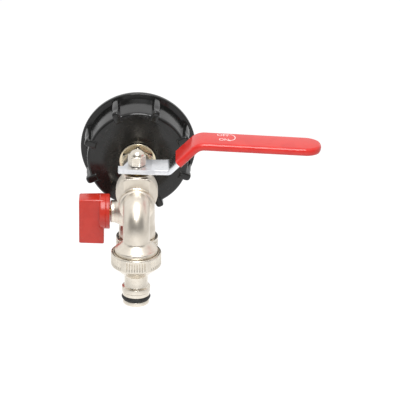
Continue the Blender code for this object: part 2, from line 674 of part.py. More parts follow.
def make_spout_parts():
    """The round root on the front face, the bent tube and the flared, threaded end."""
    root_front = BODY_FRONT + ROOT_LENGTH
    root = [(0, root_front)]
    root += arc(ROOT_RADIUS - ROOT_FILLET, root_front - ROOT_FILLET, ROOT_FILLET, 90, 0, 3)
    root += [(ROOT_RADIUS, BODY_FRONT - ROOT_BURIED), (0, BODY_FRONT - ROOT_BURIED)]
    lip = SPOUT_FLARE_LIP
    collar_bottom = -SPOUT_COLLAR_TOP - SPOUT_COLLAR_HEIGHT
    flare = [
        (0, -SPOUT_FLARE_TOP),
        (SPOUT_RADIUS - SPOUT_FLARE_SINK, -SPOUT_FLARE_TOP),
        (SPOUT_RADIUS + SPOUT_FLARE_LIFT, -SPOUT_FLARE_TOP - SPOUT_FLARE_STEP),
        (SPOUT_COLLAR_RADIUS - lip, -SPOUT_COLLAR_TOP + lip),
        (SPOUT_COLLAR_RADIUS - lip / 3, -SPOUT_COLLAR_TOP + lip / 3),
        (SPOUT_COLLAR_RADIUS, -SPOUT_COLLAR_TOP - lip / 3),
        (SPOUT_COLLAR_RADIUS, collar_bottom),
        (SPOUT_THREAD_RADIUS - CHAMFER, collar_bottom - CHAMFER),
        (SPOUT_THREAD_RADIUS - CHAMFER, -SPOUT_END + CHAMFER),
        (SPOUT_THREAD_RADIUS - 2 * CHAMFER, -SPOUT_END),
        (0, -SPOUT_END),
    ]
    return (
        turned("spout root", root, at(0, -ROOT_DROP) @ FORWARD),
        tube("spout tube", spout_path(SPOUT_COLLAR_TOP), SPOUT_RADIUS),
        turned("spout end", flare, at(SPOUT_FORWARD)),
    )


def make_branch_parts():
    """The second branch under the barrel, and the side boss that carries the small stem."""
    branch = arc(0, -BRANCH_DOME_DROP, BRANCH_RADIUS, 90, 0, 5)
    branch[0] = (0, branch[0][1])
    branch += [
        (BRANCH_RADIUS, -BRANCH_NECK_TOP + BRANCH_TAPER),
        (BRANCH_NECK_RADIUS, -BRANCH_NECK_TOP),
        (BRANCH_NECK_RADIUS, -BRANCH_END),
        (0, -BRANCH_END),
    ]
    flare = SIDE_BOSS_FLARE
    waist_out, waist_along = SIDE_BOSS_WAIST
    buried_radius, buried_along = SIDE_BOSS_BURIED
    side = [
        (0, SIDE_BOSS_END),
        (SIDE_BOSS_RADIUS - CHAMFER, SIDE_BOSS_END),
        (SIDE_BOSS_RADIUS, SIDE_BOSS_END - CHAMFER),
        (SIDE_BOSS_RADIUS, BRANCH_RADIUS + flare),
        (SIDE_BOSS_RADIUS + waist_out * flare, BRANCH_RADIUS + waist_along * flare),
        (SIDE_BOSS_RADIUS + flare, BRANCH_RADIUS - flare),
        (SIDE_BOSS_RADIUS * buried_radius, BRANCH_RADIUS - buried_along * flare),
        (0, BRANCH_RADIUS - buried_along * flare),
    ]
    return (
        turned("second branch", branch, at(BRANCH_FORWARD)),
        turned("side boss", side, at(BRANCH_FORWARD, -SMALL_VALVE_DROP) @ LEFTWARD),
    )


def make_body_bores():
    """What is bored out of the casting: the inlet, the stem's bore, the spout and the second branch."""
    inlet_end = STEM_FORWARD + SEAT_REACH + GAP
    inlet = [
        (0, BODY_FRONT + ROOT_LENGTH / 2),
        (PORT_RADIUS, BODY_FRONT + ROOT_LENGTH / 2),
        (PORT_RADIUS, inlet_end),
        (BODY_BORE_RADIUS, inlet_end),
        (BODY_BORE_RADIUS, BODY_BACK - TOOL_MARGIN),
        (0, BODY_BACK - TOOL_MARGIN),
    ]
    stem = [
        (0, BOSS_TOP + TOOL_MARGIN),
        (GLAND_NECK_RADIUS + GAP, BOSS_TOP + TOOL_MARGIN),
        (GLAND_NECK_RADIUS + GAP, STEM_LIP_TOP),
        (STEM_RADIUS + GAP, STEM_LIP_TOP),
        (STEM_RADIUS + GAP, STEM_LIP_BOTTOM),
        (STEM_SHOULDER_RADIUS + GAP, STEM_LIP_BOTTOM),
        (STEM_SHOULDER_RADIUS + GAP, BALL_RADIUS / 2),
        (0, BALL_RADIUS / 2),
    ]
    branch_step = -SMALL_VALVE_DROP + SMALL_SEAT_REACH + GAP
    branch = [
        (0, -BODY_BORE_RADIUS / 2),
        (SMALL_PORT_RADIUS, -BODY_BORE_RADIUS / 2),
        (SMALL_PORT_RADIUS, branch_step),
        (SMALL_BORE_RADIUS, branch_step),
        (SMALL_BORE_RADIUS, -BRANCH_END - TOOL_MARGIN),
        (0, -BRANCH_END - TOOL_MARGIN),
    ]
    ring_bore = SMALL_STEM_RADIUS + SMALL_RING_DEPTH + GAP
    ring_floor = SIDE_BOSS_END - SMALL_RING_GROOVE - 2 * GAP
    side = [
        (0, SIDE_BOSS_END + TOOL_MARGIN),
        (ring_bore, SIDE_BOSS_END + TOOL_MARGIN),
        (ring_bore, ring_floor),
        (SMALL_STEM_RADIUS + GAP, ring_floor),
        (SMALL_STEM_RADIUS + GAP, SMALL_LIP_START),
        (SMALL_SHOULDER_RADIUS + GAP, SMALL_LIP_START),
        (SMALL_SHOULDER_RADIUS + GAP, SMALL_BALL_RADIUS / 2),
        (0, SMALL_BALL_RADIUS / 2),
    ]
    return (
        turned("inlet bore", inlet, FORWARD, SMALL_SEGMENTS),
        turned("stem bore", stem, at(STEM_FORWARD), SMALL_SEGMENTS),
        tube("spout bore", spout_path(SPOUT_END + TOOL_MARGIN), PORT_RADIUS),
        turned("branch bore", branch, at(BRANCH_FORWARD), SMALL_SEGMENTS),
        turned("side bore", side, at(BRANCH_FORWARD, -SMALL_VALVE_DROP) @ LEFTWARD, SMALL_SEGMENTS),
    )


def make_valve_body():
    body = make_housing()
    boss = [
        (0, BOSS_TOP),
        (BOSS_RADIUS - CHAMFER, BOSS_TOP),
        (BOSS_RADIUS, BOSS_TOP - CHAMFER),
        (BOSS_RADIUS, 0),
        (0, 0),
    ]
    join(body, turned("stem boss", boss, at(STEM_FORWARD)), *make_spout_parts(), *make_branch_parts())
    cut(body, *make_body_bores())
    complete(body, NICKEL)


def make_seat(name, ball_radius, reach, land, bore, port, place):
    """A seat ring whose hollow face follows the ball at a gap, drawn with the ball's centre at 0."""
    sealing = ball_radius + GAP
    outer = bore - GAP
    inner = port + GAP / 3
    start = math.degrees(math.asin(land / sealing))
    end = math.degrees(math.acos(inner / sealing))
    profile = [(inner, reach), (outer, reach), (outer, land)]
    profile += arc(0, 0, sealing, start, end, 2)
    complete(turned(name, profile, place, SMALL_SEGMENTS), PTFE)


def make_ball(name, radius, port, port_place, slot_low, slot_high, place):
    """A ball turned about its port, with a slot for its stem's tang."""
    edge = math.degrees(math.acos(port / radius))
    ball = turned(name, arc(0, 0, radius, edge, -edge, 12), place @ port_place, SMALL_SEGMENTS)
    cut(ball, block(f"{name} slot", slot_low, slot_high, place))
    complete(ball, STEEL)


def make_main_valve():
    centre = at(STEM_FORWARD)
    slot_half = TANG_WIDTH / 2 + FINE_GAP
    slot_floor = BALL_RADIUS - TANG_DEPTH - GAP
    make_ball(
        "main_ball",
        BALL_RADIUS,
        PORT_RADIUS,
        LEFTWARD,
        (-slot_half, -1.5 * BALL_RADIUS, slot_floor),
        (slot_half, 1.5 * BALL_RADIUS, 2 * BALL_RADIUS),
        centre,
    )
    seat = (BALL_RADIUS, SEAT_REACH, SEAT_LAND, BODY_BORE_RADIUS, PORT_RADIUS)
    make_seat("main_seat_front", *seat, centre @ FORWARD)
    make_seat("main_seat_rear", *seat, centre @ FORWARD @ Matrix.Rotation(math.pi, 4, "X"))
    retainer_front = STEM_FORWARD - SEAT_REACH - GAP
    retainer_back = retainer_front - RETAINER_LENGTH
    outer = BODY_BORE_RADIUS - GAP
    retainer = ring("seat_retainer", PORT_RADIUS, outer, retainer_back, retainer_front, FORWARD, SMALL_SEGMENTS)
    for half_turn in (0, 1):
        key = Matrix.Rotation(math.pi * half_turn, 4, "Z")
        low = (PORT_RADIUS - TOOL_MARGIN, -TANG_WIDTH / 2, retainer_back - TOOL_MARGIN)
        high = (BODY_BORE_RADIUS + TOOL_MARGIN, TANG_WIDTH / 2, retainer_back + TANG_WIDTH / 2)
        cut(retainer, block(f"retainer key slot {half_turn + 1}", low, high, FORWARD @ key))
    complete(retainer, BRASS)


def make_main_stem():
    stem_top = NUT_BOTTOM + NUT_THREAD_DEPTH - GAP
    profile = [
        (0, stem_top),
        (STEM_RADIUS - CHAMFER, stem_top),
        (STEM_RADIUS, stem_top - CHAMFER),
        (STEM_RADIUS, STEM_SHOULDER_TOP),
        (STEM_SHOULDER_RADIUS, STEM_SHOULDER_TOP),
        (STEM_SHOULDER_RADIUS, STEM_SHOULDER_BOTTOM),
        (0, STEM_SHOULDER_BOTTOM),
    ]
    place = at(STEM_FORWARD)
    stem = turned("main_stem", profile, place, SMALL_SEGMENTS)
    tang_low = (-TANG_WIDTH / 2, -TANG_LENGTH / 2, BALL_RADIUS - TANG_DEPTH)
    tang_high = (TANG_WIDTH / 2, TANG_LENGTH / 2, STEM_SHOULDER_BOTTOM + STEM_SHOULDER_THICKNESS / 2)
    join(stem, block("stem tang", tang_low, tang_high, place))
    for side in (-1, 1):
        near = side * FLATS_HALF_WIDTH
        far = side * 2 * STEM_RADIUS
        low = (-2 * STEM_RADIUS, min(near, far), LEVER_BOTTOM - GAP / 2)
        high = (2 * STEM_RADIUS, max(near, far), LEVER_TOP + GAP / 2)
        cut(stem, block(f"stem flat {'front' if side < 0 else 'rear'}", low, high, place))
    complete(stem, BRASS)

    packing = ring(
        "stem_packing",
        STEM_RADIUS + GAP,
        GLAND_NECK_RADIUS,
        STEM_LIP_TOP + GAP,
        GLAND_SEAT - GLAND_NECK_LENGTH - GAP,
        place,
        SMALL_SEGMENTS,
    )
    complete(packing, PTFE)

    gland = [
        (STEM_RADIUS + GAP, GLAND_TOP),
        (GLAND_RADIUS - CHAMFER, GLAND_TOP),
        (GLAND_RADIUS, GLAND_TOP - CHAMFER),
        (GLAND_RADIUS, GLAND_SEAT),
        (GLAND_NECK_RADIUS, GLAND_SEAT),
        (GLAND_NECK_RADIUS, GLAND_SEAT - GLAND_NECK_LENGTH),
        (STEM_RADIUS + GAP, GLAND_SEAT - GLAND_NECK_LENGTH),
    ]
    complete(turned("packing_gland", gland, place, SMALL_SEGMENTS), BRASS)


class LeverPath:
    """The middle line of the bent strip, from the low fold's corner to its tip, in the XZ plane."""

    def __init__(self):
        middle = LEVER_BOTTOM + LEVER_THICKNESS / 2
        low_corner = Vector((LEVER_FOLD_X, 0, middle))
        high_corner = low_corner + Vector((LEVER_RISE_X, 0, LEVER_RISE_X * math.tan(LEVER_SLOPE)))
        tip_run = SLEEVE_TIP_X - high_corner.x
        tip = high_corner + Vector((tip_run, 0, -tip_run * math.tan(LEVER_DROOP)))
        start = Vector((-LEVER_LEFT_END, 0, middle))
        self.stations = [(start, 0.0)]
        self.add_fold(low_corner, 0.0, LEVER_SLOPE, LEVER_LOW_FOLD_RADIUS, 6)
        self.add_fold(high_corner, LEVER_SLOPE, -LEVER_DROOP, LEVER_HIGH_FOLD_RADIUS, 8)
        self.stations.append((tip, -LEVER_DROOP))
        self.distances = [0.0]
        for (before, _), (after, _) in zip(self.stations, self.stations[1:]):
            self.distances.append(self.distances[-1] + (after - before).length)
        self.low_corner = low_corner

    def add_fold(self, corner, slope_in, slope_out, radius, steps):
        """Round one corner of the path with an arc."""
        bend = slope_out - slope_in
        side = 1 if bend > 0 else -1
        reach = radius * math.tan(abs(bend) / 2)
        start = corner - reach * Vector((math.cos(slope_in), 0, math.sin(slope_in)))
        centre = start + side * radius * Vector((-math.sin(slope_in), 0, math.cos(slope_in)))
        for step in range(steps + 1):
            slope = slope_in + bend * step / steps
            point = centre - side * radius * Vector((-math.sin(slope), 0, math.cos(slope)))
            self.stations.append((point, slope))

    def at_distance(self, distance):
        """The point and slope at a distance along the path."""
        for i in range(len(self.distances) - 1):
            if distance <= self.distances[i + 1] or i == len(self.distances) - 2:
                share = (distance - self.distances[i]) / (self.distances[i + 1] - self.distances[i])
                (before, slope_before), (after, slope_after) = self.stations[i : i + 2]
                return before.lerp(after, share), slope_before + (slope_after - slope_before) * share
        return self.stations[-1]


def strip_section(point, slope, half_width, half_thickness, corner, corner_steps):
    """A rounded rectangle across the strip."""
    corner = min(corner, half_width * MOST_CORNER, half_thickness * MOST_CORNER)
    normal = Vector((-math.sin(slope), 0, math.cos(slope)))
    across = Vector((0, 1, 0))
    centre = point + across * LEVER_CENTRE_Y
    ring_points = []
    for quarter, (side, up) in enumerate(((1, 1), (-1, 1), (-1, -1), (1, -1))):
        for step in range(corner_steps + 1):
            angle = math.radians(90 * quarter + 90 * step / corner_steps)
            across_by = side * (half_width - corner) + corner * math.cos(angle)
            up_by = up * (half_thickness - corner) + corner * math.sin(angle)
            ring_points.append(centre + across * across_by + normal * up_by)
    return ring_points


def strip(name, path, start, end, half_width, half_thickness, corner, corner_steps, tip_radius):
    """A bent bar along the lever's path, with a rounded tip in plan and rounded edges."""
    apart = 10 * WELD_DISTANCE
    inner = [d for d in path.distances if start + apart < d < end - tip_radius - apart]
    distances = [start, *inner]
    for step in range(TIP_STEPS + 1):
        angle = TIP_ANGLE * step / TIP_STEPS
        distances.append(end - tip_radius * (1 - math.sin(angle)))
    rings = []
    for distance in distances:
        left = end - distance
        point, slope = path.at_distance(distance)
        width = half_width
        if left < tip_radius:
            width = half_width * math.sqrt(1 - (1 - left / tip_radius) ** 2)
        thickness = half_thickness
        if left < corner:
            thickness = half_thickness - corner + corner * math.sqrt(1 - (1 - left / corner) ** 2)
        rings.append(strip_section(point, slope, width, thickness, corner, corner_steps))
    return loft(name, rings)


def make_lever():
    path = LeverPath()
    lever_end = path.distances[-1] - SLEEVE_SIDE
    lever = strip(
        "lever", path, 0, lever_end, LEVER_HALF_WIDTH, LEVER_THICKNESS / 2, EDGE_ROUND, 1, LEVER_HALF_WIDTH
    )
    back = -STEM_FORWARD + LEVER_BACK
    tab_inner = -STEM_FORWARD - LEVER_TAB_CORNER
    slant_end = -STEM_FORWARD + LEVER_BACK * LEVER_SLANT_SHARE
    corner_cut = [
        (-2 * LEVER_LEFT_END, tab_inner),
        (-LEVER_LEFT_END + LEVER_TAB_LENGTH, tab_inner),
        (-LEVER_SLANT_X, slant_end),
        (-LEVER_SLANT_X, back + TOOL_MARGIN),
        (-2 * LEVER_LEFT_END, back + TOOL_MARGIN),
    ]
    height = LEVER_BOTTOM + LEVER_THICKNESS / 2
    place = Matrix.Translation((0, 0, height))
    cut(lever, extruded("lever corner", corner_cut, 2 * LEVER_THICKNESS, place))
    front = -STEM_FORWARD - LEVER_FRONT
    front_cut = [
        (-2 * LEVER_LEFT_END, front - TOOL_MARGIN),
        (LEVER_TAPER_X, front - TOOL_MARGIN),
        (LEVER_TAPER_X, front),
        (-LEVER_LEFT_END, front + LEVER_TAPER),
        (-2 * LEVER_LEFT_END, front + 2 * LEVER_TAPER),
    ]
    cut(lever, extruded("lever front taper", front_cut, 2 * LEVER_THICKNESS, place))
    low = LEVER_BOTTOM - TOOL_MARGIN
    high = LEVER_TOP + TOOL_MARGIN
    hole = bar("lever hole", STEM_RADIUS + FINE_GAP, low, high, at(STEM_FORWARD))
    half = FLATS_HALF_WIDTH + FINE_GAP
    across = 2 * STEM_RADIUS
    flats = block("hole flats", (-across, -half, 0), (across, half, 2 * LEVER_TOP), at(STEM_FORWARD))
    combine(hole, flats, "INTERSECT")
    cut(lever, make_real(hole))
    complete(lever, ZINC)

    slope_start = (path.low_corner - path.stations[0][0]).length
    sleeve_start = slope_start + SLEEVE_START
    half_cavity = LEVER_THICKNESS / 2 + FINE_GAP
    sleeve = strip(
        "lever_sleeve",
        path,
        sleeve_start,
        path.distances[-1],
        LEVER_HALF_WIDTH + SLEEVE_SIDE,
        half_cavity + SLEEVE_WALL,
        SLEEVE_CORNER,
        3,
        LEVER_HALF_WIDTH + SLEEVE_SIDE,
    )
    cavity_half_width = LEVER_HALF_WIDTH + FINE_GAP
    cavity = strip(
        "sleeve cavity",
        path,
        sleeve_start - TOOL_MARGIN,
        lever_end + FINE_GAP,
        cavity_half_width,
        half_cavity,
        EDGE_ROUND,
        1,
        cavity_half_width,
    )
    cut(sleeve, cavity)
    complete(sleeve, RED_VINYL)


def make_lever_nut():
    place = at(STEM_FORWARD)
    hex_top = NUT_BOTTOM + NUT_HEX_HEIGHT
    top = NUT_BOTTOM + NUT_HEIGHT
    nut = chamfered_hexagon("lever_nut", NUT_ACROSS_FLATS, NUT_BOTTOM, hex_top, place, NUT_TURN)
    dome = [(0, top)] + arc(0, top - NUT_DOME_RADIUS, NUT_DOME_RADIUS, 90, 0, 5)[1:]
    dome += [(NUT_DOME_RADIUS, hex_top - ROOTED), (0, hex_top - ROOTED)]
    join(nut, turned("nut dome", dome, place, SMALL_SEGMENTS))
    thread = [
        (0, NUT_BOTTOM + NUT_THREAD_DEPTH + NUT_DRILL_POINT),
        (STEM_RADIUS + FINE_GAP, NUT_BOTTOM + NUT_THREAD_DEPTH),
        (STEM_RADIUS + FINE_GAP, NUT_BOTTOM - TOOL_MARGIN),
        (0, NUT_BOTTOM - TOOL_MARGIN),
    ]
    cut(nut, turned("nut thread", thread, place, SMALL_SEGMENTS))
    complete(nut, NICKEL)


def make_small_valve():
    centre = at(BRANCH_FORWARD, -SMALL_VALVE_DROP)
    slot_half = SMALL_TANG_WIDTH / 2 + FINE_GAP
    slot_floor = SMALL_BALL_RADIUS - SMALL_TANG_DEPTH - GAP
    make_ball(
        "small_ball",
        SMALL_BALL_RADIUS,
        SMALL_PORT_RADIUS,
        UPWARD,
        (-2 * SMALL_BALL_RADIUS, -1.5 * SMALL_BALL_RADIUS, -slot_half),
        (-slot_floor, 1.5 * SMALL_BALL_RADIUS, slot_half),
        centre,
    )
    seat = (SMALL_BALL_RADIUS, SMALL_SEAT_REACH, SMALL_SEAT_LAND, SMALL_BORE_RADIUS, SMALL_PORT_RADIUS)
    make_seat("small_seat_upper", *seat, centre)
    make_seat("small_seat_lower", *seat, centre @ Matrix.Rotation(math.pi, 4, "X"))

    drive_start = SIDE_BOSS_END + GAP
    drive_end = drive_start + SMALL_DRIVE_LENGTH
    profile = [
        (0, drive_start),
        (SMALL_STEM_RADIUS, drive_start),
        (SMALL_STEM_RADIUS, SMALL_SHOULDER_END),
        (SMALL_SHOULDER_RADIUS, SMALL_SHOULDER_END),
        (SMALL_SHOULDER_RADIUS, SMALL_SHOULDER_START),
        (0, SMALL_SHOULDER_START),
    ]
    place = centre @ LEFTWARD
    stem = turned("small_stem", profile, place, SMALL_SEGMENTS)
    half = SMALL_DRIVE / 2
    join(stem, block("small drive", (-half, -half, drive_start - ROOTED), (half, half, drive_end), place))
    tang_low = (-SMALL_TANG_WIDTH / 2, -SMALL_TANG_LENGTH / 2, SMALL_BALL_RADIUS - SMALL_TANG_DEPTH)
    tang_top = SMALL_SHOULDER_START + SMALL_SHOULDER_THICKNESS / 2
    tang_high = (SMALL_TANG_WIDTH / 2, SMALL_TANG_LENGTH / 2, tang_top)
    join(stem, block("small tang", tang_low, tang_high, place))
    screw_end = drive_end - SCREW_LENGTH + SCREW_HEAD_HEIGHT
    cut(stem, bar("screw thread", SCREW_RADIUS, screw_end - GAP, drive_end + TOOL_MARGIN, place))
    complete(stem, BRASS)

    ring_outer = SIDE_BOSS_END - GAP
    seal = ring(
        "small_stem_o_ring",
        SMALL_STEM_RADIUS + GAP / 2,
        SMALL_STEM_RADIUS + SMALL_RING_DEPTH,
        ring_outer - SMALL_RING_GROOVE,
        ring_outer,
        place,
        SMALL_SEGMENTS,
    )
    complete(seal, BLACK_RUBBER)
    return drive_end


def make_handle(drive_end):
    """The red handle: a round hub on the small stem, and a paddle that hangs from its outer end."""
    place = at(BRANCH_FORWARD, -SMALL_VALVE_DROP) @ LEFTWARD
    groove = HUB_END - HUB_GROOVE_FROM_END + HUB_GROOVE_WIDTH
    hub = [
        (0, HUB_END),
        (HUB_RADIUS - 2 * CHAMFER, HUB_END),
        (HUB_RADIUS, HUB_END - 2 * CHAMFER),
        (HUB_RADIUS, groove),
        (HUB_RADIUS - HUB_GROOVE_DEPTH, groove - HUB_GROOVE_WIDTH / 2),
        (HUB_RADIUS, groove - HUB_GROOVE_WIDTH),
        (HUB_RADIUS, HUB_START + CHAMFER),
        (HUB_RADIUS - CHAMFER, HUB_START),
        (0, HUB_START),
    ]
    handle = turned("small_handle", hub, place)

    axis_y = -BRANCH_FORWARD
    axis_z = -SMALL_VALVE_DROP
    low = (-PADDLE_END, axis_y - PADDLE_HALF_THICKNESS, axis_z - PADDLE_BELOW)
    high = (-PADDLE_START, axis_y + PADDLE_HALF_THICKNESS, axis_z + PADDLE_ABOVE)
    paddle = block("paddle", low, high)
    for vertex in paddle.data.vertices:
        if vertex.co.x < -(PADDLE_START + PADDLE_END) / 2:
            vertex.co.z += PADDLE_DRAFT if vertex.co.z < axis_z else -PADDLE_DRAFT
    bevel = paddle.modifiers.new("rounded edges", "BEVEL")
    bevel.width = PADDLE_EDGE
    bevel.segments = 3
    join(handle, make_real(paddle))

    half = SMALL_DRIVE / 2 + FINE_GAP
    low = (-half, -half, HUB_START - TOOL_MARGIN)
    drive_hole = block("drive hole", low, (half, half, drive_end + GAP), place)
    well_floor = drive_end + GAP + SCREW_FLOOR
    screw_hole = bar("screw hole", SCREW_RADIUS + GAP, drive_end, well_floor + TOOL_MARGIN, place)
    well = bar("screw well", PADDLE_WELL_RADIUS, well_floor, PADDLE_END + TOOL_MARGIN, place)
    cut(handle, drive_hole, screw_hole, well)
    complete(handle, RED_PLASTIC)

    head_start = well_floor + GAP
    head_end = head_start + SCREW_HEAD_HEIGHT
    screw = [
        (0, head_end),
        (SCREW_HEAD_RADIUS * SCREW_FLAT_SHARE, head_end),
        (SCREW_HEAD_RADIUS, head_start + SCREW_HEAD_HEIGHT * SCREW_RIM_SHARE),
        (SCREW_HEAD_RADIUS, head_start),
        (SCREW_CORE, head_start),
        (SCREW_CORE, head_end - SCREW_LENGTH),
        (0, head_end - SCREW_LENGTH),
    ]
    fastener = turned("handle_screw", screw, place, SMALL_SEGMENTS // 2)
    arm = SCREW_HEAD_RADIUS * SCREW_FLAT_SHARE
    blade = SCREW_HEAD_RADIUS * SCREW_BLADE_SHARE
    deep = head_end - SCREW_HEAD_HEIGHT / 2
    top = head_end + TOOL_MARGIN
    cut(fastener, block("recess across", (-arm, -blade, deep), (arm, blade, top), place))
    cut(fastener, block("recess along", (-blade, -arm, deep), (blade, arm, top), place))
    complete(fastener, ZINC)


def make_lower_outlet():
    """The threaded end piece that holds the lower seat. The profile's height is above the inlet axis."""
    spigot_radius = SMALL_BORE_RADIUS - GAP
    spigot_top = -SMALL_VALVE_DROP - SMALL_SEAT_REACH - GAP
    bottom = -OUTLET_TOP - OUTLET_LENGTH
    profile = [
        (SMALL_PORT_RADIUS, spigot_top),
        (spigot_radius, spigot_top),
        (spigot_radius, -OUTLET_TOP),
        (OUTLET_THREAD_RADIUS - CHAMFER, -OUTLET_TOP),
        (OUTLET_THREAD_RADIUS, -OUTLET_TOP - CHAMFER),
        (OUTLET_THREAD_RADIUS, -OUTLET_TOP - OUTLET_SHOULDER),
    ]
    crest = OUTLET_THREAD_PITCH * OUTLET_CREST_SHARE
    for turn in range(OUTLET_THREAD_COUNT):
        top = -OUTLET_TOP - OUTLET_SHOULDER - turn * OUTLET_THREAD_PITCH
        profile += [
            (OUTLET_THREAD_ROOT, top - OUTLET_THREAD_PITCH / 2 + crest / 2),
            (OUTLET_THREAD_ROOT, top - OUTLET_THREAD_PITCH / 2 - crest / 2),
            (OUTLET_THREAD_RADIUS, top - OUTLET_THREAD_PITCH + crest / 2),
            (OUTLET_THREAD_RADIUS, top - OUTLET_THREAD_PITCH),
        ]
    profile += [
        (OUTLET_THREAD_ROOT, bottom),
        (OUTLET_MOUTH_RADIUS, bottom),
        (OUTLET_MOUTH_RADIUS, bottom + OUTLET_MOUTH_DEPTH),
        (SMALL_PORT_RADIUS, bottom + OUTLET_MOUTH_DEPTH + OUTLET_MOUTH_RADIUS - SMALL_PORT_RADIUS),
    ]
    complete(turned("lower_outlet", profile, at(BRANCH_FORWARD)), NICKEL)


def ribbed_outline():
    """The ring's outline in plan: groups of small ribs with smooth panels between them."""
    root = RING_RADIUS - RING_RIB_DEPTH
    panel = RING_RADIUS - RING_RIB_DEPTH / 3
    outline = []
    for group in range(RING_GROUPS):
        centre = 2 * math.pi * group / RING_GROUPS
        for rib in range(RING_RIBS_PER_GROUP):
            middle = centre + (rib - (RING_RIBS_PER_GROUP - 1) / 2) * RING_RIB_STEP
            outline.append((root, middle - RING_RIB_STEP / 2))
            outline.append((RING_RADIUS, middle))
        group_end = centre + RING_RIBS_PER_GROUP / 2 * RING_RIB_STEP
        gap = 2 * math.pi / RING_GROUPS - RING_RIBS_PER_GROUP * RING_RIB_STEP
        outline.append((root, group_end))
        for share in (0.1, 0.9):
            outline.append((panel, group_end + share * gap))
    front = math.radians(-90)
    return [(r * math.cos(a + front), r * math.sin(a + front)) for r, a in outline]


def make_hose_connector():
    lip_radius = RING_RADIUS - RING_RIB_DEPTH
    cone_start = RING_HEIGHT
    neck = NIPPLE_NECK_RADIUS
    fillet_out, fillet_above, fillet_below = NIPPLE_NECK_FILLET
    groove_end = NIPPLE_GROOVE_START + NIPPLE_GROOVE_WIDTH
    fillet = NIPPLE_TIP_FILLET
    bore_radius = RING_BORE_RADIUS
    outer = [
        (bore_radius, 0),
        (lip_radius - CHAMFER, 0),
        (lip_radius, -CHAMFER),
        (lip_radius, -cone_start),
        (neck + fillet_out, -NIPPLE_NECK_START + fillet_above),
        (neck, -NIPPLE_NECK_START - fillet_below),
        (neck, -NIPPLE_NECK_END),
        (NIPPLE_COLLAR_RADIUS, -NIPPLE_COLLAR_START),
        (NIPPLE_COLLAR_RADIUS, -NIPPLE_COLLAR_END),
        (NIPPLE_BODY_RADIUS, -NIPPLE_COLLAR_END - CHAMFER),
        (NIPPLE_BODY_RADIUS, -NIPPLE_GROOVE_START),
        (NIPPLE_GROOVE_RADIUS, -NIPPLE_GROOVE_START),
        (NIPPLE_GROOVE_RADIUS, -groove_end),
        (NIPPLE_TIP_RADIUS, -groove_end),
    ]
    outer += arc(NIPPLE_TIP_RADIUS - fillet, -NIPPLE_LENGTH + fillet, fillet, 0, -90, 2)
    inner = [
        (NIPPLE_BORE_RADIUS + CHAMFER, -NIPPLE_LENGTH),
        (NIPPLE_BORE_RADIUS, -NIPPLE_LENGTH + CHAMFER),
        (NIPPLE_BORE_RADIUS, -RING_BORE_DEPTH),
        (bore_radius, -RING_BORE_DEPTH),
    ]
    place = at(SPOUT_FORWARD, -CONNECTOR_TOP)
    connector = turned("hose_connector", outer + inner, place)
    rib_height = RING_HEIGHT - RING_LIP
    rib_middle = -RING_LIP - rib_height / 2
    ribs = extruded("ring ribs", ribbed_outline(), rib_height, place @ Matrix.Translation((0, 0, rib_middle)))
    core = (bore_radius + lip_radius) / 2
    cut(ribs, bar("rib core", core, -RING_HEIGHT - TOOL_MARGIN, TOOL_MARGIN, place, SEGMENTS))
    join(connector, make_real(ribs))
    complete(connector, NICKEL)

    washer_bottom = -CONNECTOR_TOP - RING_BORE_DEPTH + GAP
    washer = ring(
        "hose_washer",
        NIPPLE_BORE_RADIUS + GAP,
        SPOUT_COLLAR_RADIUS - GAP,
        washer_bottom,
        washer_bottom + HOSE_WASHER_THICKNESS,
        at(SPOUT_FORWARD),
    )
    complete(washer, BLACK_RUBBER)

    section_centre = NIPPLE_GROOVE_RADIUS + GAP + NIPPLE_RING_RADIUS
    middle = -NIPPLE_GROOVE_START - NIPPLE_GROOVE_WIDTH / 2
    section = arc(section_centre, middle, NIPPLE_RING_RADIUS, 90, -225, 7)
    complete(turned("nipple_o_ring", section, place), BLACK_RUBBER)


clear_scene()
PARTS = new_collection("ibc tap adapter")
TOOLS = new_collection("construction")
TOOLS.hide_render = True

BLACK_PLASTIC = new_material("black plastic", (0.02, 0.02, 0.019), 0.38, 0.0)
BLACK_RUBBER = new_material("black rubber", (0.012, 0.012, 0.012), 0.6, 0.0)
NICKEL = new_material("nickel plating", (0.62, 0.57, 0.5), 0.22, 1.0)
BRASS = new_material("brass", (0.62, 0.42, 0.16), 0.3, 1.0)
STEEL = new_material("polished steel", (0.7, 0.7, 0.7), 0.1, 1.0)
ZINC = new_material("zinc plating", (0.66, 0.68, 0.72), 0.3, 1.0)
PTFE = new_material("white ptfe", (0.85, 0.85, 0.83), 0.5, 0.0)
RED_VINYL = new_material("red vinyl", (0.72, 0.025, 0.02), 0.35, 0.0)
RED_PLASTIC = new_material("red plastic", (0.6, 0.02, 0.018), 0.3, 0.0)

make_cap()
make_cap_seals()
make_backnut()
make_inlet_connector()
make_valve_body()
make_main_valve()
make_main_stem()
make_lever()
make_lever_nut()
make_handle(make_small_valve())
make_lower_outlet()
make_hose_connector()
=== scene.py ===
import math

import bmesh
import bpy
from mathutils import Matrix, Quaternion, Vector


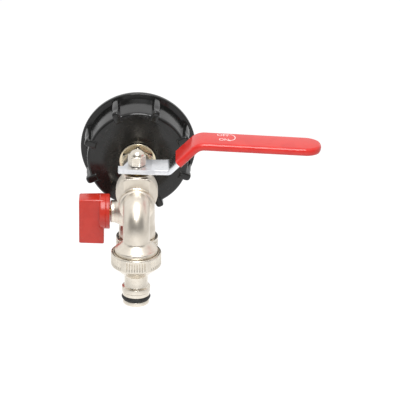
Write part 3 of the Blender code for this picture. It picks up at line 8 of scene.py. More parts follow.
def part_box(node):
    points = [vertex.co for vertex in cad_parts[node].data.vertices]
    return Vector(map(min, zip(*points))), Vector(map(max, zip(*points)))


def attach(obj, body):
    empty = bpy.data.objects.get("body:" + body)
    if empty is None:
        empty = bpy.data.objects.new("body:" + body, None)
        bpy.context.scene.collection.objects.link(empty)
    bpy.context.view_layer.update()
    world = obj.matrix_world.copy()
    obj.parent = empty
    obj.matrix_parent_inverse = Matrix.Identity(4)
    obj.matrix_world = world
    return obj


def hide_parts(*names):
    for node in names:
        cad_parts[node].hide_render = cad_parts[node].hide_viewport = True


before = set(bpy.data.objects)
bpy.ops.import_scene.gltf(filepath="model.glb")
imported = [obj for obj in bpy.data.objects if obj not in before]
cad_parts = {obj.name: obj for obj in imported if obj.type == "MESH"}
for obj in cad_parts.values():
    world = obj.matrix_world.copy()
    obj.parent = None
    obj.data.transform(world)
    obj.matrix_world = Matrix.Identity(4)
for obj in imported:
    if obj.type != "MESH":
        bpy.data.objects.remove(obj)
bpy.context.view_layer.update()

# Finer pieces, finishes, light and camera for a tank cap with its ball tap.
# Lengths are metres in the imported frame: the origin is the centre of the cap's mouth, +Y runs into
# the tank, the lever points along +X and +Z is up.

MM = 0.001
GAP = 0.3 * MM  # between neighbours, as in the solids


def middle(node):
    low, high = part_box(node)
    return (low + high) / 2


# Places read from the solids
STEM_Y = middle("packing_gland").y
SPOUT_Y = middle("hose_connector").y
BRANCH_Y = middle("lower_outlet").y
SIDE_VALVE_Z = middle("small_ball").z
GLAND_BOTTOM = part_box("lever")[0].z - 1.5 * MM
LEVER_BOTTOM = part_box("lever")[0].z
NUT_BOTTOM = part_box("lever_nut")[0].z
CONNECTOR_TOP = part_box("hose_connector")[1].z
BODY_BACK = -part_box("valve_body")[1].y
BODY_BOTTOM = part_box("valve_body")[0].z
SIDE_BOSS_END = -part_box("valve_body")[0].x
OUTLET_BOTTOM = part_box("lower_outlet")[0].z
OUTLET_SHOULDER_TOP = BODY_BOTTOM - GAP
HUB_START = -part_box("small_handle")[1].x
PADDLE_END = -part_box("small_handle")[0].x
SLEEVE_TIP_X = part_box("lever_sleeve")[1].x - 0.05 * MM

# Directions: each turned piece is drawn along its own Z
FORWARD = Matrix.Rotation(math.radians(90), 4, "X")  # Z becomes -Y
LEFTWARD = Matrix.Rotation(math.radians(-90), 4, "Y")  # Z becomes -X
STEM_PLACE = Matrix.Translation((0, STEM_Y, 0))
BRANCH_PLACE = Matrix.Translation((0, BRANCH_Y, 0))
SIDE_VALVE_PLACE = Matrix.Translation((0, BRANCH_Y, SIDE_VALVE_Z)) @ LEFTWARD
CONNECTOR_PLACE = Matrix.Translation((0, SPOUT_Y, CONNECTOR_TOP))

# Smoothness of the finer pieces
ROUND = 128  # points around a large turned piece
FINE_ROUND = 240  # around one with small teeth or a thread
SMALL_ROUND = 64  # around a small or hidden one
HEX_ROUND = 120  # around one with a hexagon, so that its corners fall on points
CREASE = math.radians(35)  # an edge that bends more than this stays crisp
HEX_BLUNT = 0.985  # where a hexagon's corners are cut round, as a share of their radius
PAST = 1 * MM  # how far a cutting tool runs past the face that it cuts


def new_piece(name, mesh):
    piece = bpy.data.objects.new(name, mesh)
    bpy.context.scene.collection.objects.link(piece)
    return piece


def piece_from(name, bm):
    """A new piece from a bmesh, which is used up."""
    mesh = bpy.data.meshes.new(name)
    bm.to_mesh(mesh)
    bm.free()
    return new_piece(name, mesh)


def settle(piece):
    """Replace a piece's mesh by the one that its modifiers or its curve make."""
    bpy.context.view_layer.update()
    graph = bpy.context.evaluated_depsgraph_get()
    mesh = bpy.data.meshes.new_from_object(piece.evaluated_get(graph))
    if piece.type != "MESH":
        name = piece.name
        place = piece.matrix_world.copy()
        bpy.data.objects.remove(piece)
        piece = new_piece(name, mesh)
        piece.matrix_world = place
        return piece
    piece.modifiers.clear()
    piece.data = mesh
    return piece


def combine(piece, operation, *others):
    """Join, cut or intersect a piece with others, which are used up."""
    for other in others:
        modifier = piece.modifiers.new(operation, "BOOLEAN")
        modifier.operation = operation
        modifier.object = other
        modifier.solver = "EXACT"
        piece = settle(piece)
        bpy.data.objects.remove(other)
    return piece


def finished(piece, material, body, *nodes, slot):
    """Shade a piece, give it its material, and let it ride on a body in place of CAD nodes."""
    piece.data.name = piece.name
    piece.data.materials.clear()
    piece.data.materials.append(material)
    piece.data.shade_smooth()
    piece.data.set_sharp_from_angle(angle=CREASE)
    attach(piece, body)
    if nodes:
        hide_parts(*nodes)
    return piece


def rounded(corners, closed=True):
    """Points of a section from corners of (radius, height, fillet, steps), with each fillet an arc.

    A corner in a straight run has its points spread over its fillet's length to each side.
    """
    points = []
    last = len(corners) - 1
    for i, (radius, height, fillet, steps) in enumerate(corners):
        corner = Vector((radius, height))
        if not closed and i in (0, last):
            points.append(corner)
            continue
        before = Vector(corners[i - 1][:2]) - corner
        after = Vector(corners[0 if i == last else i + 1][:2]) - corner
        half = before.angle(after) / 2
        if half > math.radians(89):
            start = corner + before.normalized() * fillet
            end = corner + after.normalized() * fillet
            points += [start.lerp(end, step / steps) for step in range(steps + 1)]
            continue
        reach = min(fillet / math.tan(half), before.length * 0.49, after.length * 0.49)
        across = (before.normalized() + after.normalized()).normalized()
        centre = corner + across * (reach / math.cos(half))
        start = corner + before.normalized() * reach - centre
        end = corner + after.normalized() * reach - centre
        sweep = start.angle_signed(end)
        for step in range(steps + 1):
            turned = start.copy()
            turned.rotate(Matrix.Rotation(-sweep * step / steps, 2))
            points.append(centre + turned)
    return points


def even_rows(radius, start, end, count):
    """Points of a section straight along its axis, for a thread or ribs to shape."""
    return [(radius, start + (end - start) * row / count) for row in range(count + 1)]


def surface(name, grid, closed=True):
    """A closed skin over rows of points, each a loop. The rows close too unless their ends are poles."""
    bm = bmesh.new()
    rows = [[bm.verts.new(point) for point in row] for row in grid]
    pairs = list(zip(rows, rows[1:]))
    if closed:
        pairs.append((rows[-1], rows[0]))
    for near, far in pairs:
        count = max(len(near), len(far))
        for j in range(count):
            k = (j + 1) % count
            if len(near) == 1:
                bm.faces.new((near[0], far[k], far[j]))
            elif len(far) == 1:
                bm.faces.new((near[j], near[k], far[0]))
            else:
                bm.faces.new((near[j], near[k], far[k], far[j]))
    bmesh.ops.recalc_face_normals(bm, faces=bm.faces)
    return piece_from(name, bm)


def turned(name, section, place, around=ROUND, shape=None):
    """Carry a section of (radius, height) round its axis. shape may change a radius by row and angle."""
    grid = []
    for i, (radius, height) in enumerate(section):
        if radius == 0:
            grid.append([place @ Vector((0, 0, height))])
            continue
        row = []
        for j in range(around):
            angle = 2 * math.pi * j / around
            reach = shape(i, radius, height, angle) if shape else radius
            row.append(place @ Vector((reach * math.cos(angle), reach * math.sin(angle), height)))
        grid.append(row)
    return surface(name, grid, closed=section[0][0] != 0)


def rod(name, radius, low, high, place, around=SMALL_ROUND):
    return turned(name, [(0, low), (radius, low), (radius, high), (0, high)], place, around)


def box_piece(name, low, high, place=Matrix.Identity(4)):
    bm = bmesh.new()
    bmesh.ops.create_cube(bm, size=1)
    size = Vector(high) - Vector(low)
    bmesh.ops.scale(bm, vec=size, verts=bm.verts)
    bmesh.ops.translate(bm, vec=Vector(low) + size / 2, verts=bm.verts)
    bmesh.ops.transform(bm, matrix=place, verts=bm.verts)
    return piece_from(name, bm)


def smooth_step(value, low, high):
    share = min(1.0, max(0.0, (value - low) / (high - low)))
    return share * share * (3 - 2 * share)


def hexagon_radius(angle, across_flats, flat_at):
    """Distance from a hexagon's centre to its side, with the middle of one flat at an angle."""
    sector = math.radians(60)
    off = (angle - flat_at + sector / 2) % sector - sector / 2
    return across_flats / 2 / math.cos(off)


def hexagon_corner(across_flats):
    return across_flats / 2 / math.cos(math.radians(30))


def hexagon_shape(first, limits, across_flats, flat_at, blunt):
    """For turned(): rows from the first on become a hexagon, within their limits and its blunt corners."""

    def shape(i, radius, height, angle):
        if first <= i < first + len(limits):
            return min(limits[i - first], hexagon_radius(angle, across_flats, flat_at), blunt)
        return radius

    return shape


def thread_height(height, angle, start, pitch, turns, flank, crest):
    """From 0 at a thread's root to 1 at its crest, for a thread that rises and sinks at its two ends."""
    highest = 0.0
    first = math.floor((height - start) / pitch - angle / (2 * math.pi))
    for whole in (first - 1, first, first + 1, first + 2):
        travelled = angle / (2 * math.pi) + whole
        if not 0 <= travelled <= turns:
            continue
        off = abs(height - start - pitch * travelled)
        rise = smooth_step(min(travelled, turns - travelled), 0, 0.2)
        highest = max(highest, rise * (1 - smooth_step(off, crest / 2, crest / 2 + flank)))
    return highest


# Cap
CAP_DEPTH = 24 * MM
CAP_FACE_BACK = 20.5 * MM
CAP_BORE = 30.1 * MM
CAP_HOLE = 8.63 * MM
CAP_FLANGE = 36.2 * MM
CAP_FLANGE_THICK = 3 * MM
CAP_WALL_BACK = 32.6 * MM
CAP_WALL_FRONT = 31.6 * MM
CAP_SHOULDER = 5 * MM
CAP_RIBS = 8
CAP_RIB_CREST = 35.2 * MM
CAP_RIB_HALF = 2.3 * MM
CAP_RIB_FOOT = 34.5 * MM  # the rib's crest rises from here, beside the flange
CAP_RIB_LEAD = 1.5 * MM
CAP_RIB_FRONT = 24.9 * MM
CAP_KNOB = 1.7 * MM
CAP_RIB_DIP = 0.6 * MM  # the crest sinks behind its knob
CAP_CREST_EASE = 0.4 * MM
CAP_WALL_ROWS = (8 * MM, 12 * MM, 15 * MM, 17.5 * MM)
# Rows of a rib's crest: the share of its dip, and the height
CAP_CREST_ROWS = ((0.25, 15 * MM), (1.0, 18.4 * MM), (1.0, 20 * MM), (0.15, 21.6 * MM))
CAP_RIB_TAIL = 28 * MM
CAP_RIB_TURN = math.radians(24.8)
CAP_THREAD_START = 4.1 * MM
CAP_THREAD_PITCH = 6 * MM
CAP_THREAD_TURNS = 1.84
CAP_THREAD_DEPTH = 2.2 * MM
CAP_THREAD_FLANK = 1.2 * MM
CAP_THREAD_CREST = 1.8 * MM
CAP_THREAD = (CAP_THREAD_START, CAP_THREAD_PITCH, CAP_THREAD_TURNS, CAP_THREAD_FLANK, CAP_THREAD_CREST)
CAP_THREAD_MARGIN = 0.8 * MM  # the rows that carry the thread stop this short of the bore's ends
CAP_THREAD_ROWS = 60
# Across half a rib: distance from its middle in half widths, and how far the surface is lifted to its crest
RIB_SHAPE = (
    (0.0, 1.0), (0.25, 0.995), (0.45, 0.975), (0.6, 0.94), (0.72, 0.88), (0.81, 0.79), (0.88, 0.67),
    (0.94, 0.5), (0.99, 0.3), (1.04, 0.12), (1.1, 0.03), (1.2, 0.0),
)
PANEL_STEPS = 14  # across the wall between two ribs


def cap_sections():
    """The cap's section between two ribs, and through the middle of one, point for point."""
    rows = even_rows(CAP_BORE, CAP_FACE_BACK - CAP_THREAD_MARGIN, CAP_THREAD_MARGIN, CAP_THREAD_ROWS)
    thread_rows = [Vector(point) for point in rows]
    mouth = [
        (CAP_BORE, 0, 0.6 * MM, 3),
        (CAP_FLANGE, 0, 0.5 * MM, 3),
        (CAP_FLANGE, CAP_FLANGE_THICK, 0.7 * MM, 4),
    ]
    front_and_bore = [
        (CAP_RIB_TAIL - 1.6 * MM, CAP_DEPTH, 0.5 * MM, 1),
        (CAP_HOLE, CAP_DEPTH, 0.4 * MM, 2),
        (CAP_HOLE, CAP_FACE_BACK, 0.3 * MM, 2),
        (CAP_BORE, CAP_FACE_BACK, 0.6 * MM, 3),
    ]
    slant = (CAP_WALL_FRONT - CAP_WALL_BACK) / (CAP_DEPTH - CAP_FLANGE_THICK)
    wall = []
    for height in CAP_WALL_ROWS:
        wall.append((CAP_WALL_BACK + slant * (height - CAP_FLANGE_THICK), height, CAP_CREST_EASE, 1))
    crest = []
    for share, height in CAP_CREST_ROWS:
        crest.append((CAP_RIB_CREST - share * CAP_RIB_DIP, height, CAP_CREST_EASE, 1))
    between = mouth + [
        (CAP_WALL_BACK, CAP_FLANGE_THICK, 0.25 * MM, 2),
        (CAP_WALL_BACK - 0.1 * MM, CAP_FLANGE_THICK + CAP_RIB_LEAD, 0.5 * MM, 2),
        *wall,
        (CAP_WALL_FRONT, CAP_DEPTH, CAP_SHOULDER, 10),
        (CAP_RIB_TAIL + 0.1 * MM, CAP_DEPTH, 0.3 * MM, 4),
        (CAP_RIB_TAIL - 0.6 * MM, CAP_DEPTH, 0.3 * MM, 3),
    ] + front_and_bore
    through = mouth + [
        (CAP_RIB_FOOT, CAP_FLANGE_THICK, 0.2 * MM, 2),
        (CAP_RIB_CREST, CAP_FLANGE_THICK + CAP_RIB_LEAD, 0.6 * MM, 2),
        *crest,
        (CAP_RIB_CREST, CAP_RIB_FRONT, CAP_KNOB, 10),
        (CAP_RIB_TAIL, CAP_RIB_FRONT, 0.8 * MM, 4),
        (CAP_RIB_TAIL - 0.1 * MM, CAP_DEPTH, 0.25 * MM, 3),
    ] + front_and_bore
    return rounded(between) + thread_rows, rounded(through) + thread_rows


def cap_angles(radius):
    """Pairs of angle and lift for one row of the cap: close together across each rib, and evenly between."""
    pairs = []
    reach = max(radius, CAP_RIB_TAIL)
    half_ribs = [(-off, lift) for off, lift in reversed(RIB_SHAPE)] + list(RIB_SHAPE[1:])
    edge = RIB_SHAPE[-1][0] * CAP_RIB_HALF / reach
    sector = 2 * math.pi / CAP_RIBS
    for rib in range(CAP_RIBS):
        centre = CAP_RIB_TURN + sector * rib
        pairs += [(centre + off * CAP_RIB_HALF / reach, lift) for off, lift in half_ribs]
        for step in range(1, PANEL_STEPS):
            pairs.append((centre + edge + (sector - 2 * edge) * step / PANEL_STEPS, 0.0))
    return pairs


def make_cap():
    between, through = cap_sections()
    grid = []
    wall_rows = len(between) - CAP_THREAD_ROWS - 1
    for i, (plain, ribbed) in enumerate(zip(between, through)):
        row = []
        for angle, lift in cap_angles(plain.x):
            radius, height = plain.lerp(ribbed, lift)
            if i >= wall_rows:
                radius -= thread_height(height, angle % (2 * math.pi), *CAP_THREAD) * CAP_THREAD_DEPTH
            row.append(FORWARD @ Vector((radius * math.cos(angle), radius * math.sin(angle), height)))
        grid.append(row)
    return surface("ribbed_cap", grid)


# Rings and nut inside the cap
GASKET = (23.5 * MM, 29.8 * MM, 17.6 * MM, 20.2 * MM)  # inner and outer radius, back and front
BACKNUT_SEAL = (8.63 * MM, 13.5 * MM, 18.2 * MM, 20.2 * MM)
BACKNUT_FLATS = 24 * MM
BACKNUT_BACK = 11.9 * MM
BACKNUT_FRONT = 17.9 * MM
BACKNUT_CHAMFER = 1.1 * MM
BACKNUT_FACE = 0.97  # share of the distance to its flats
BACKNUT_BORE_EDGE = 0.6 * MM
RING_EDGE = 0.3 * MM


def flat_ring(name, sizes):
    inner, outer, low, high = sizes
    corners = [(inner, low), (outer, low), (outer, high), (inner, high)]
    return turned(name, rounded([(*corner, RING_EDGE, 3) for corner in corners]), FORWARD)


def make_backnut():
    corner = hexagon_corner(BACKNUT_FLATS)
    face = BACKNUT_FLATS / 2 * BACKNUT_FACE
    hex_rows = (
        (BACKNUT_BACK, face),
        (BACKNUT_BACK + BACKNUT_CHAMFER / 2, (face + corner) / 2),
        (BACKNUT_BACK + BACKNUT_CHAMFER, corner),
        (BACKNUT_FRONT - BACKNUT_CHAMFER, corner),
        (BACKNUT_FRONT - BACKNUT_CHAMFER / 2, (face + corner) / 2),
        (BACKNUT_FRONT, face),
    )
    section = [(corner, height) for height, _ in hex_rows]
    section += [(CAP_HOLE + BACKNUT_BORE_EDGE, BACKNUT_FRONT), (CAP_HOLE, BACKNUT_FRONT - BACKNUT_BORE_EDGE)]
    section += [(CAP_HOLE, BACKNUT_BACK + BACKNUT_BORE_EDGE), (CAP_HOLE + BACKNUT_BORE_EDGE, BACKNUT_BACK)]
    limits = [limit for _, limit in hex_rows]
    hexed = hexagon_shape(0, limits, BACKNUT_FLATS, math.radians(30), corner * HEX_BLUNT)
    return turned("brass_backnut", section, FORWARD, FINE_ROUND, hexed)


# Inlet connector
PORT = 4.6 * MM
TAIL = 8.33 * MM
TAIL_END = 8.9 * MM
TAIL_PITCH = 1.337 * MM
TAIL_THREAD_DEPTH = 0.7 * MM
TAIL_TURNS = 11
TAIL_THREAD_START = TAIL_END + 0.9 * MM
TAIL_THREAD_FLANK = 0.5 * MM
TAIL_THREAD_CREST = 0.15 * MM
TAIL_THREAD = (TAIL_THREAD_START, TAIL_PITCH, TAIL_TURNS, TAIL_THREAD_FLANK, TAIL_THREAD_CREST)
TAIL_ROWS = 110
INLET_FLANGE = 11.45 * MM
INLET_FLANGE_BACK = 24.3 * MM
INLET_FLANGE_FRONT = 25.9 * MM
INLET_HEX = 18.9 * MM
INLET_HEX_FRONT = 31.9 * MM
INLET_CHAMFER = 1.0 * MM
INLET_FACE = 0.98  # share of the distance to its flats
SPIGOT = 7.2 * MM
SPIGOT_END = BODY_BACK + 9.5 * MM


def make_inlet_connector():
    corner = hexagon_corner(INLET_HEX)
    face = INLET_HEX / 2 * INLET_FACE
    hex_rows = [
        (INLET_FLANGE_FRONT, corner),
        (INLET_HEX_FRONT - INLET_CHAMFER, corner),
        (INLET_HEX_FRONT - INLET_CHAMFER * 0.7, corner - (corner - face) * 0.35),
        (INLET_HEX_FRONT - INLET_CHAMFER * 0.35, corner - (corner - face) * 0.7),
        (INLET_HEX_FRONT, face),
    ]
    collar = [
        (TAIL, INLET_FLANGE_BACK, 0.2 * MM, 2),
        (INLET_FLANGE, INLET_FLANGE_BACK, 0.35 * MM, 3),
        (INLET_FLANGE, INLET_FLANGE_FRONT, 0.45 * MM, 4),
        (corner, INLET_FLANGE_FRONT, 0.0, 1),
    ]
    section = rounded(collar, closed=False)[:-1]
    first_hex = len(section)
    section += [(corner, height) for height, _ in hex_rows]
    section += [(SPIGOT, INLET_HEX_FRONT), (SPIGOT, SPIGOT_END)]
    section += [(PORT, SPIGOT_END), (PORT, TAIL_END + 0.4 * MM)]
    section += [(PORT + 0.4 * MM, TAIL_END), (TAIL - 1.0 * MM, TAIL_END)]
    first_thread = len(section)
    section += even_rows(TAIL, TAIL_END + 0.5 * MM, INLET_FLANGE_BACK - 1 * MM, TAIL_ROWS)
    limits = [limit for _, limit in hex_rows]
    hexed = hexagon_shape(first_hex, limits, INLET_HEX, 0.0, corner * HEX_BLUNT)

    def shaped(i, radius, height, angle):
        if i < first_thread:
            return hexed(i, radius, height, angle)
        return TAIL - TAIL_THREAD_DEPTH * (1 - thread_height(height, angle, *TAIL_THREAD))

    return turned("inlet_fitting", section, FORWARD, HEX_ROUND, shaped)


# Casting
BARREL = 9.1 * MM
HOUSING = 12.9 * MM
HOUSING_FRONT = 10.2 * MM  # ahead of the stem
HOUSING_TOP = 11 * MM
FLAT_HALF = 7.8 * MM
FACET_TURN = math.radians(34)
BOSS = 9.2 * MM
BOSS_TOP = 11.5 * MM
ROOT = 10.8 * MM
ROOT_DROP = 6 * MM
ROOT_FRONT = 4.5 * MM  # ahead of the front face
ROOT_FILLET = 2 * MM
SPOUT = 8.2 * MM
SPOUT_BEND = 14 * MM
SPOUT_DROP = 4 * MM
FLARE_TOP = 22.5 * MM
COLLAR_TOP = 28.3 * MM
COLLAR = 13.1 * MM
COLLAR_EDGE = 1.0 * MM
COLLAR_DEPTH = 2.9 * MM
COLLAR_STEP = 0.7 * MM  # in to the end of the spout below the collar
SPOUT_START = 7.6 * MM  # ahead of the stem
SPOUT_END = 36 * MM
BRANCH = 11 * MM
BRANCH_DOME = 13 * MM
BRANCH_NECK = 11.4 * MM
BRANCH_NECK_TOP = 36 * MM
SIDE_BOSS = 7 * MM
SIDE_FLARE = 3.2 * MM
CAST_VOXEL = 0.34 * MM
CAST_SMOOTHING = 1

# Bores in the casting. The stems' bores are measured from the axis of the ball that they reach
SEAT_BORE = 7.5 * MM
SEAT_BORE_FRONT = 7.9 * MM  # ahead of the stem
PACKING_BORE = 5.2 * MM
PACKING_FLOOR = 9.4 * MM
STEM_NECK_BORE = 3.1 * MM
STEM_SHOULDER = 8.7 * MM
STEM_BORE = 4.2 * MM
STEM_BORE_END = 3.5 * MM
SMALL_PORT = 4.2 * MM
SMALL_PORT_TOP = 3.75 * MM  # below the inlet's axis
SMALL_SEAT_BORE = 7 * MM
SMALL_SEAT_REACH = 7.3 * MM  # above and below the small ball's middle
SMALL_RING_BORE = 3.8 * MM
SMALL_RING_DEPTH = 2.4 * MM
SMALL_NECK_BORE = 2.7 * MM
SMALL_STEM_SHOULDER = 8.1 * MM
SMALL_STEM_BORE = 3.6 * MM
SMALL_STEM_END = 3.2 * MM


def arc(centre_radius, centre_height, radius, start, end, steps):
    """Points of a section's arc, from one angle to another in degrees, measured up from the radius."""
    points = []
    for step in range(steps + 1):
        angle = math.radians(start + (end - start) * step / steps)
        points.append((centre_radius + radius * math.cos(angle), centre_height + radius * math.sin(angle)))
    return points


def spout_line(drop, steps=24):
    """The spout's centre line: forward from the housing, round a quarter bend, then straight down."""
    bend_y = SPOUT_Y + SPOUT_BEND
    points = [Vector((0, STEM_Y - SPOUT_START, -SPOUT_DROP))]
    for step in range(steps + 1):
        angle = math.pi / 2 * step / steps
        forward = SPOUT_BEND * math.sin(angle)
        down = SPOUT_BEND * (1 - math.cos(angle))
        points.append(Vector((0, bend_y - forward, -SPOUT_DROP - down)))
    points.append(Vector((0, SPOUT_Y, -drop)))
    return points


def bent_bar(name, line, radius, around=72):
    """A round bar along a line that lies in the YZ plane."""
    grid = [[line[0]]]
    for i, point in enumerate(line):
        ahead = line[min(i + 1, len(line) - 1)] - line[max(i - 1, 0)]
        up = Vector((1, 0, 0)).cross(ahead.normalized())
        row = []
        for j in range(around):
            angle = 2 * math.pi * j / around
            row.append(point + radius * (math.cos(angle) * Vector((1, 0, 0)) + math.sin(angle) * up))
        grid.append(row)
    grid.append([line[-1]])
    return surface(name, grid, closed=False)


def make_housing():
    start = math.degrees(math.asin(BARREL / HOUSING))
    front = -STEM_Y + HOUSING_FRONT
    section = [(0, front), (HOUSING - 0.5 * MM, front), (HOUSING, front - 0.5 * MM)]
    section += arc(0, -STEM_Y, HOUSING, 0, start - 90, 24)
    section += [(BARREL, BODY_BACK + 0.5 * MM), (BARREL - 0.5 * MM, BODY_BACK), (0, BODY_BACK)]
    housing = turned("tap_casting", section, FORWARD)
    reach = 2 * HOUSING
    low = (-reach, STEM_Y - reach, HOUSING_TOP)
    top = box_piece("top", low, (reach, STEM_Y + reach, reach + HOUSING_TOP))
    housing = combine(housing, "DIFFERENCE", top)
    for side in (-1, 1):
        corner = Matrix.Translation((side * FLAT_HALF, -front, 0))
        corner = corner @ Matrix.Rotation(side * FACET_TURN, 4, "Z")
        low = (min(0, side * reach), -reach, -reach)
        facet = box_piece("facet", low, (max(0, side * reach), 0, reach), corner)
        housing = combine(housing, "DIFFERENCE", facet)
    return housing


def casting_additions():
    boss = [(0, 0), (BOSS, 0), (BOSS, BOSS_TOP - 0.4 * MM), (BOSS - 0.4 * MM, BOSS_TOP), (0, BOSS_TOP)]
    root_end = HOUSING_FRONT + ROOT_FRONT - STEM_Y
    root = [(0, root_end)]
    root += arc(ROOT - ROOT_FILLET, root_end - ROOT_FILLET, ROOT_FILLET, 90, 0, 10)
    root += [(ROOT, root_end - 10 * MM), (0, root_end - 10 * MM)]
    flare = [(0, -FLARE_TOP), (SPOUT - 0.5 * MM, -FLARE_TOP)]
    flare += [(SPOUT + 0.6 * MM, -FLARE_TOP - 1.6 * MM), (COLLAR - 1.2 * MM, -COLLAR_TOP + 1.1 * MM)]
    flare += arc(COLLAR - COLLAR_EDGE, -COLLAR_TOP, COLLAR_EDGE, 45, 0, 5)
    flare += [(COLLAR, -COLLAR_TOP - COLLAR_DEPTH), (COLLAR - COLLAR_STEP, -COLLAR_TOP - 3.5 * MM)]
    flare += [(COLLAR - COLLAR_STEP, -SPOUT_END), (0, -SPOUT_END)]
    branch = arc(0, -BRANCH_DOME, BRANCH, 90, 0, 16)
    branch[0] = (0, branch[0][1])
    branch += [(BRANCH, -BRANCH_NECK_TOP + 4 * MM), (BRANCH_NECK, -BRANCH_NECK_TOP)]
    branch += [(BRANCH_NECK, BODY_BOTTOM), (0, BODY_BOTTOM)]
    side = [(0, SIDE_BOSS_END), (SIDE_BOSS - 0.5 * MM, SIDE_BOSS_END), (SIDE_BOSS, SIDE_BOSS_END - 0.5 * MM)]
    side += [(SIDE_BOSS, BRANCH + SIDE_FLARE), (SIDE_BOSS + 0.25 * SIDE_FLARE, BRANCH + 0.3 * SIDE_FLARE)]
    side += [(SIDE_BOSS + SIDE_FLARE, BRANCH - SIDE_FLARE)]
    side += [(SIDE_BOSS * 0.9, BRANCH - 1.6 * SIDE_FLARE), (0, BRANCH - 1.6 * SIDE_FLARE)]
    return (
        turned("boss", boss, STEM_PLACE),
        turned("root", root, Matrix.Translation((0, 0, -ROOT_DROP)) @ FORWARD),
        bent_bar("spout", spout_line(COLLAR_TOP), SPOUT),
        turned("flare", flare, Matrix.Translation((0, SPOUT_Y, 0))),
        turned("branch", branch, BRANCH_PLACE),
        turned("side", side, SIDE_VALVE_PLACE),
    )


def make_bores():
    inlet_end = -STEM_Y + SEAT_BORE_FRONT
    front = -STEM_Y + HOUSING_FRONT + ROOT_FRONT / 2
    seat_top = SIDE_VALVE_Z + SMALL_SEAT_REACH
    ring_floor = SIDE_BOSS_END - SMALL_RING_DEPTH
    bores = (
        ("inlet", FORWARD, front, (
            (PORT, inlet_end),
            (SEAT_BORE, BODY_BACK - PAST),
        )),
        ("stem", STEM_PLACE, BOSS_TOP + PAST, (
            (PACKING_BORE, PACKING_FLOOR),
            (STEM_NECK_BORE, STEM_SHOULDER),
            (STEM_BORE, STEM_BORE_END),
        )),
        ("branch_bore", BRANCH_PLACE, -SMALL_PORT_TOP, (
            (SMALL_PORT, seat_top),
            (SMALL_SEAT_BORE, BODY_BOTTOM - PAST),
        )),
        ("side_bore", SIDE_VALVE_PLACE, SIDE_BOSS_END + PAST, (
            (SMALL_RING_BORE, ring_floor),
            (SMALL_NECK_BORE, SMALL_STEM_SHOULDER),
            (SMALL_STEM_BORE, SMALL_STEM_END),
        )),
    )
    pieces = []
    for name, place, start, steps in bores:
        section = [(0, start)]
        for radius, end in steps:
            section += [(radius, section[-1][1]), (radius, end)]
        section.append((0, section[-1][1]))
        pieces.append(turned(name, section, place, SMALL_ROUND))
    channel = bent_bar("channel", spout_line(SPOUT_END + PAST), PORT, 48)
    pieces.insert(2, channel)
    return pieces


def make_casting():
    """The casting as one skin: its parts are melted together in small cells and smoothed, then bored."""
    bm = bmesh.new()
    parts = (make_housing(), *casting_additions())
    for part in parts:
        bm.from_mesh(part.data)
        bpy.data.objects.remove(part)
    casting = piece_from("tap_casting", bm)
    cells = casting.modifiers.new("melted together", "REMESH")
    cells.mode = "VOXEL"
    cells.voxel_size = CAST_VOXEL
    soft = casting.modifiers.new("soft edges", "SMOOTH")
    soft.factor = 0.5
    soft.iterations = CAST_SMOOTHING
    casting = settle(casting)
    bores = make_bores()
    return combine(casting, "DIFFERENCE", combine(bores[0], "UNION", *bores[1:]))


# Lever and its sleeve
LEVER_THICK = 3 * MM
LEVER_BACK = 8.4 * MM
LEVER_FRONT = 9 * MM
LEVER_TAPER_X = 12 * MM  # left of here the front edge leans back
LEVER_TAPER = 1.6 * MM
LEVER_LEFT = 11.5 * MM
LEVER_HALF = (LEVER_BACK + LEVER_FRONT) / 2
LEVER_CENTRE_Y = STEM_Y + (LEVER_BACK - LEVER_FRONT) / 2
FOLD_X = 19.8 * MM
RISE_X = 17.7 * MM
SLOPE = math.radians(44.8)
DROOP = math.radians(2.8)
LOW_FOLD = 2.8 * MM
HIGH_FOLD = 9 * MM
SLEEVE_WALL = 0.8 * MM
SLEEVE_SIDE = 1.4 * MM
SLEEVE_START = 7.8 * MM
SLEEVE_EDGE = 2.1 * MM
STRIP_STEP = 3 * MM
TIP_STEPS = 16
TAB_LENGTH = 3.2 * MM
TAB_CORNER = 2.2 * MM
TAB_ROUND = 1.1 * MM
TAB_SLANT_X = 5.5 * MM
STEM_HOLE = 3 * MM
STEM_FLATS = 2.5 * MM
FOLD_STEPS = 16
EDGE_SHARE = 0.96  # an edge's rounding takes at most this share of the half that it rounds
TIP_SWEEP = math.radians(88.5)  # just short of a quarter, so that the last row isn't a point
LEVER_EDGE = 0.25 * MM
LEVER_EDGE_STEPS = 3
SLEEVE_EDGE_STEPS = 8
CAVITY_EDGE = 0.35 * MM
TAB_SLANT_SHARE = 0.66  # of the way to the rear edge, where the slanted side ends
STRIP_GAP = 0.2 * MM  # between the strip and the sleeve over it


def normal_to(slope):
    return Vector((-math.sin(slope), 0, math.cos(slope)))


def lever_line():
    """The strip's middle line: its points and slopes, their distances, and the distance to the low fold."""
    height = LEVER_BOTTOM + LEVER_THICK / 2
    low = Vector((FOLD_X, 0, height))
    high = low + Vector((RISE_X, 0, RISE_X * math.tan(SLOPE)))
    tip_run = SLEEVE_TIP_X - high.x
    tip = high + Vector((tip_run, 0, -tip_run * math.tan(DROOP)))
    stations = [(Vector((-LEVER_LEFT, 0, height)), 0.0)]
    folds = ((low, 0, SLOPE, LOW_FOLD), (high, SLOPE, -DROOP, HIGH_FOLD))
    for corner, slope_in, slope_out, radius in folds:
        bend = slope_out - slope_in
        side = math.copysign(1, bend)
        along = Vector((math.cos(slope_in), 0, math.sin(slope_in)))
        start = corner - radius * math.tan(abs(bend) / 2) * along
        centre = start + side * radius * normal_to(slope_in)
        for step in range(FOLD_STEPS + 1):
            slope = slope_in + bend * step / FOLD_STEPS
            stations.append((centre - side * radius * normal_to(slope), slope))
    stations.append((tip, -DROOP))
    distances = [0.0]
    for (before, _), (after, _) in zip(stations, stations[1:]):
        distances.append(distances[-1] + (after - before).length)
    return stations, distances, low.x + LEVER_LEFT


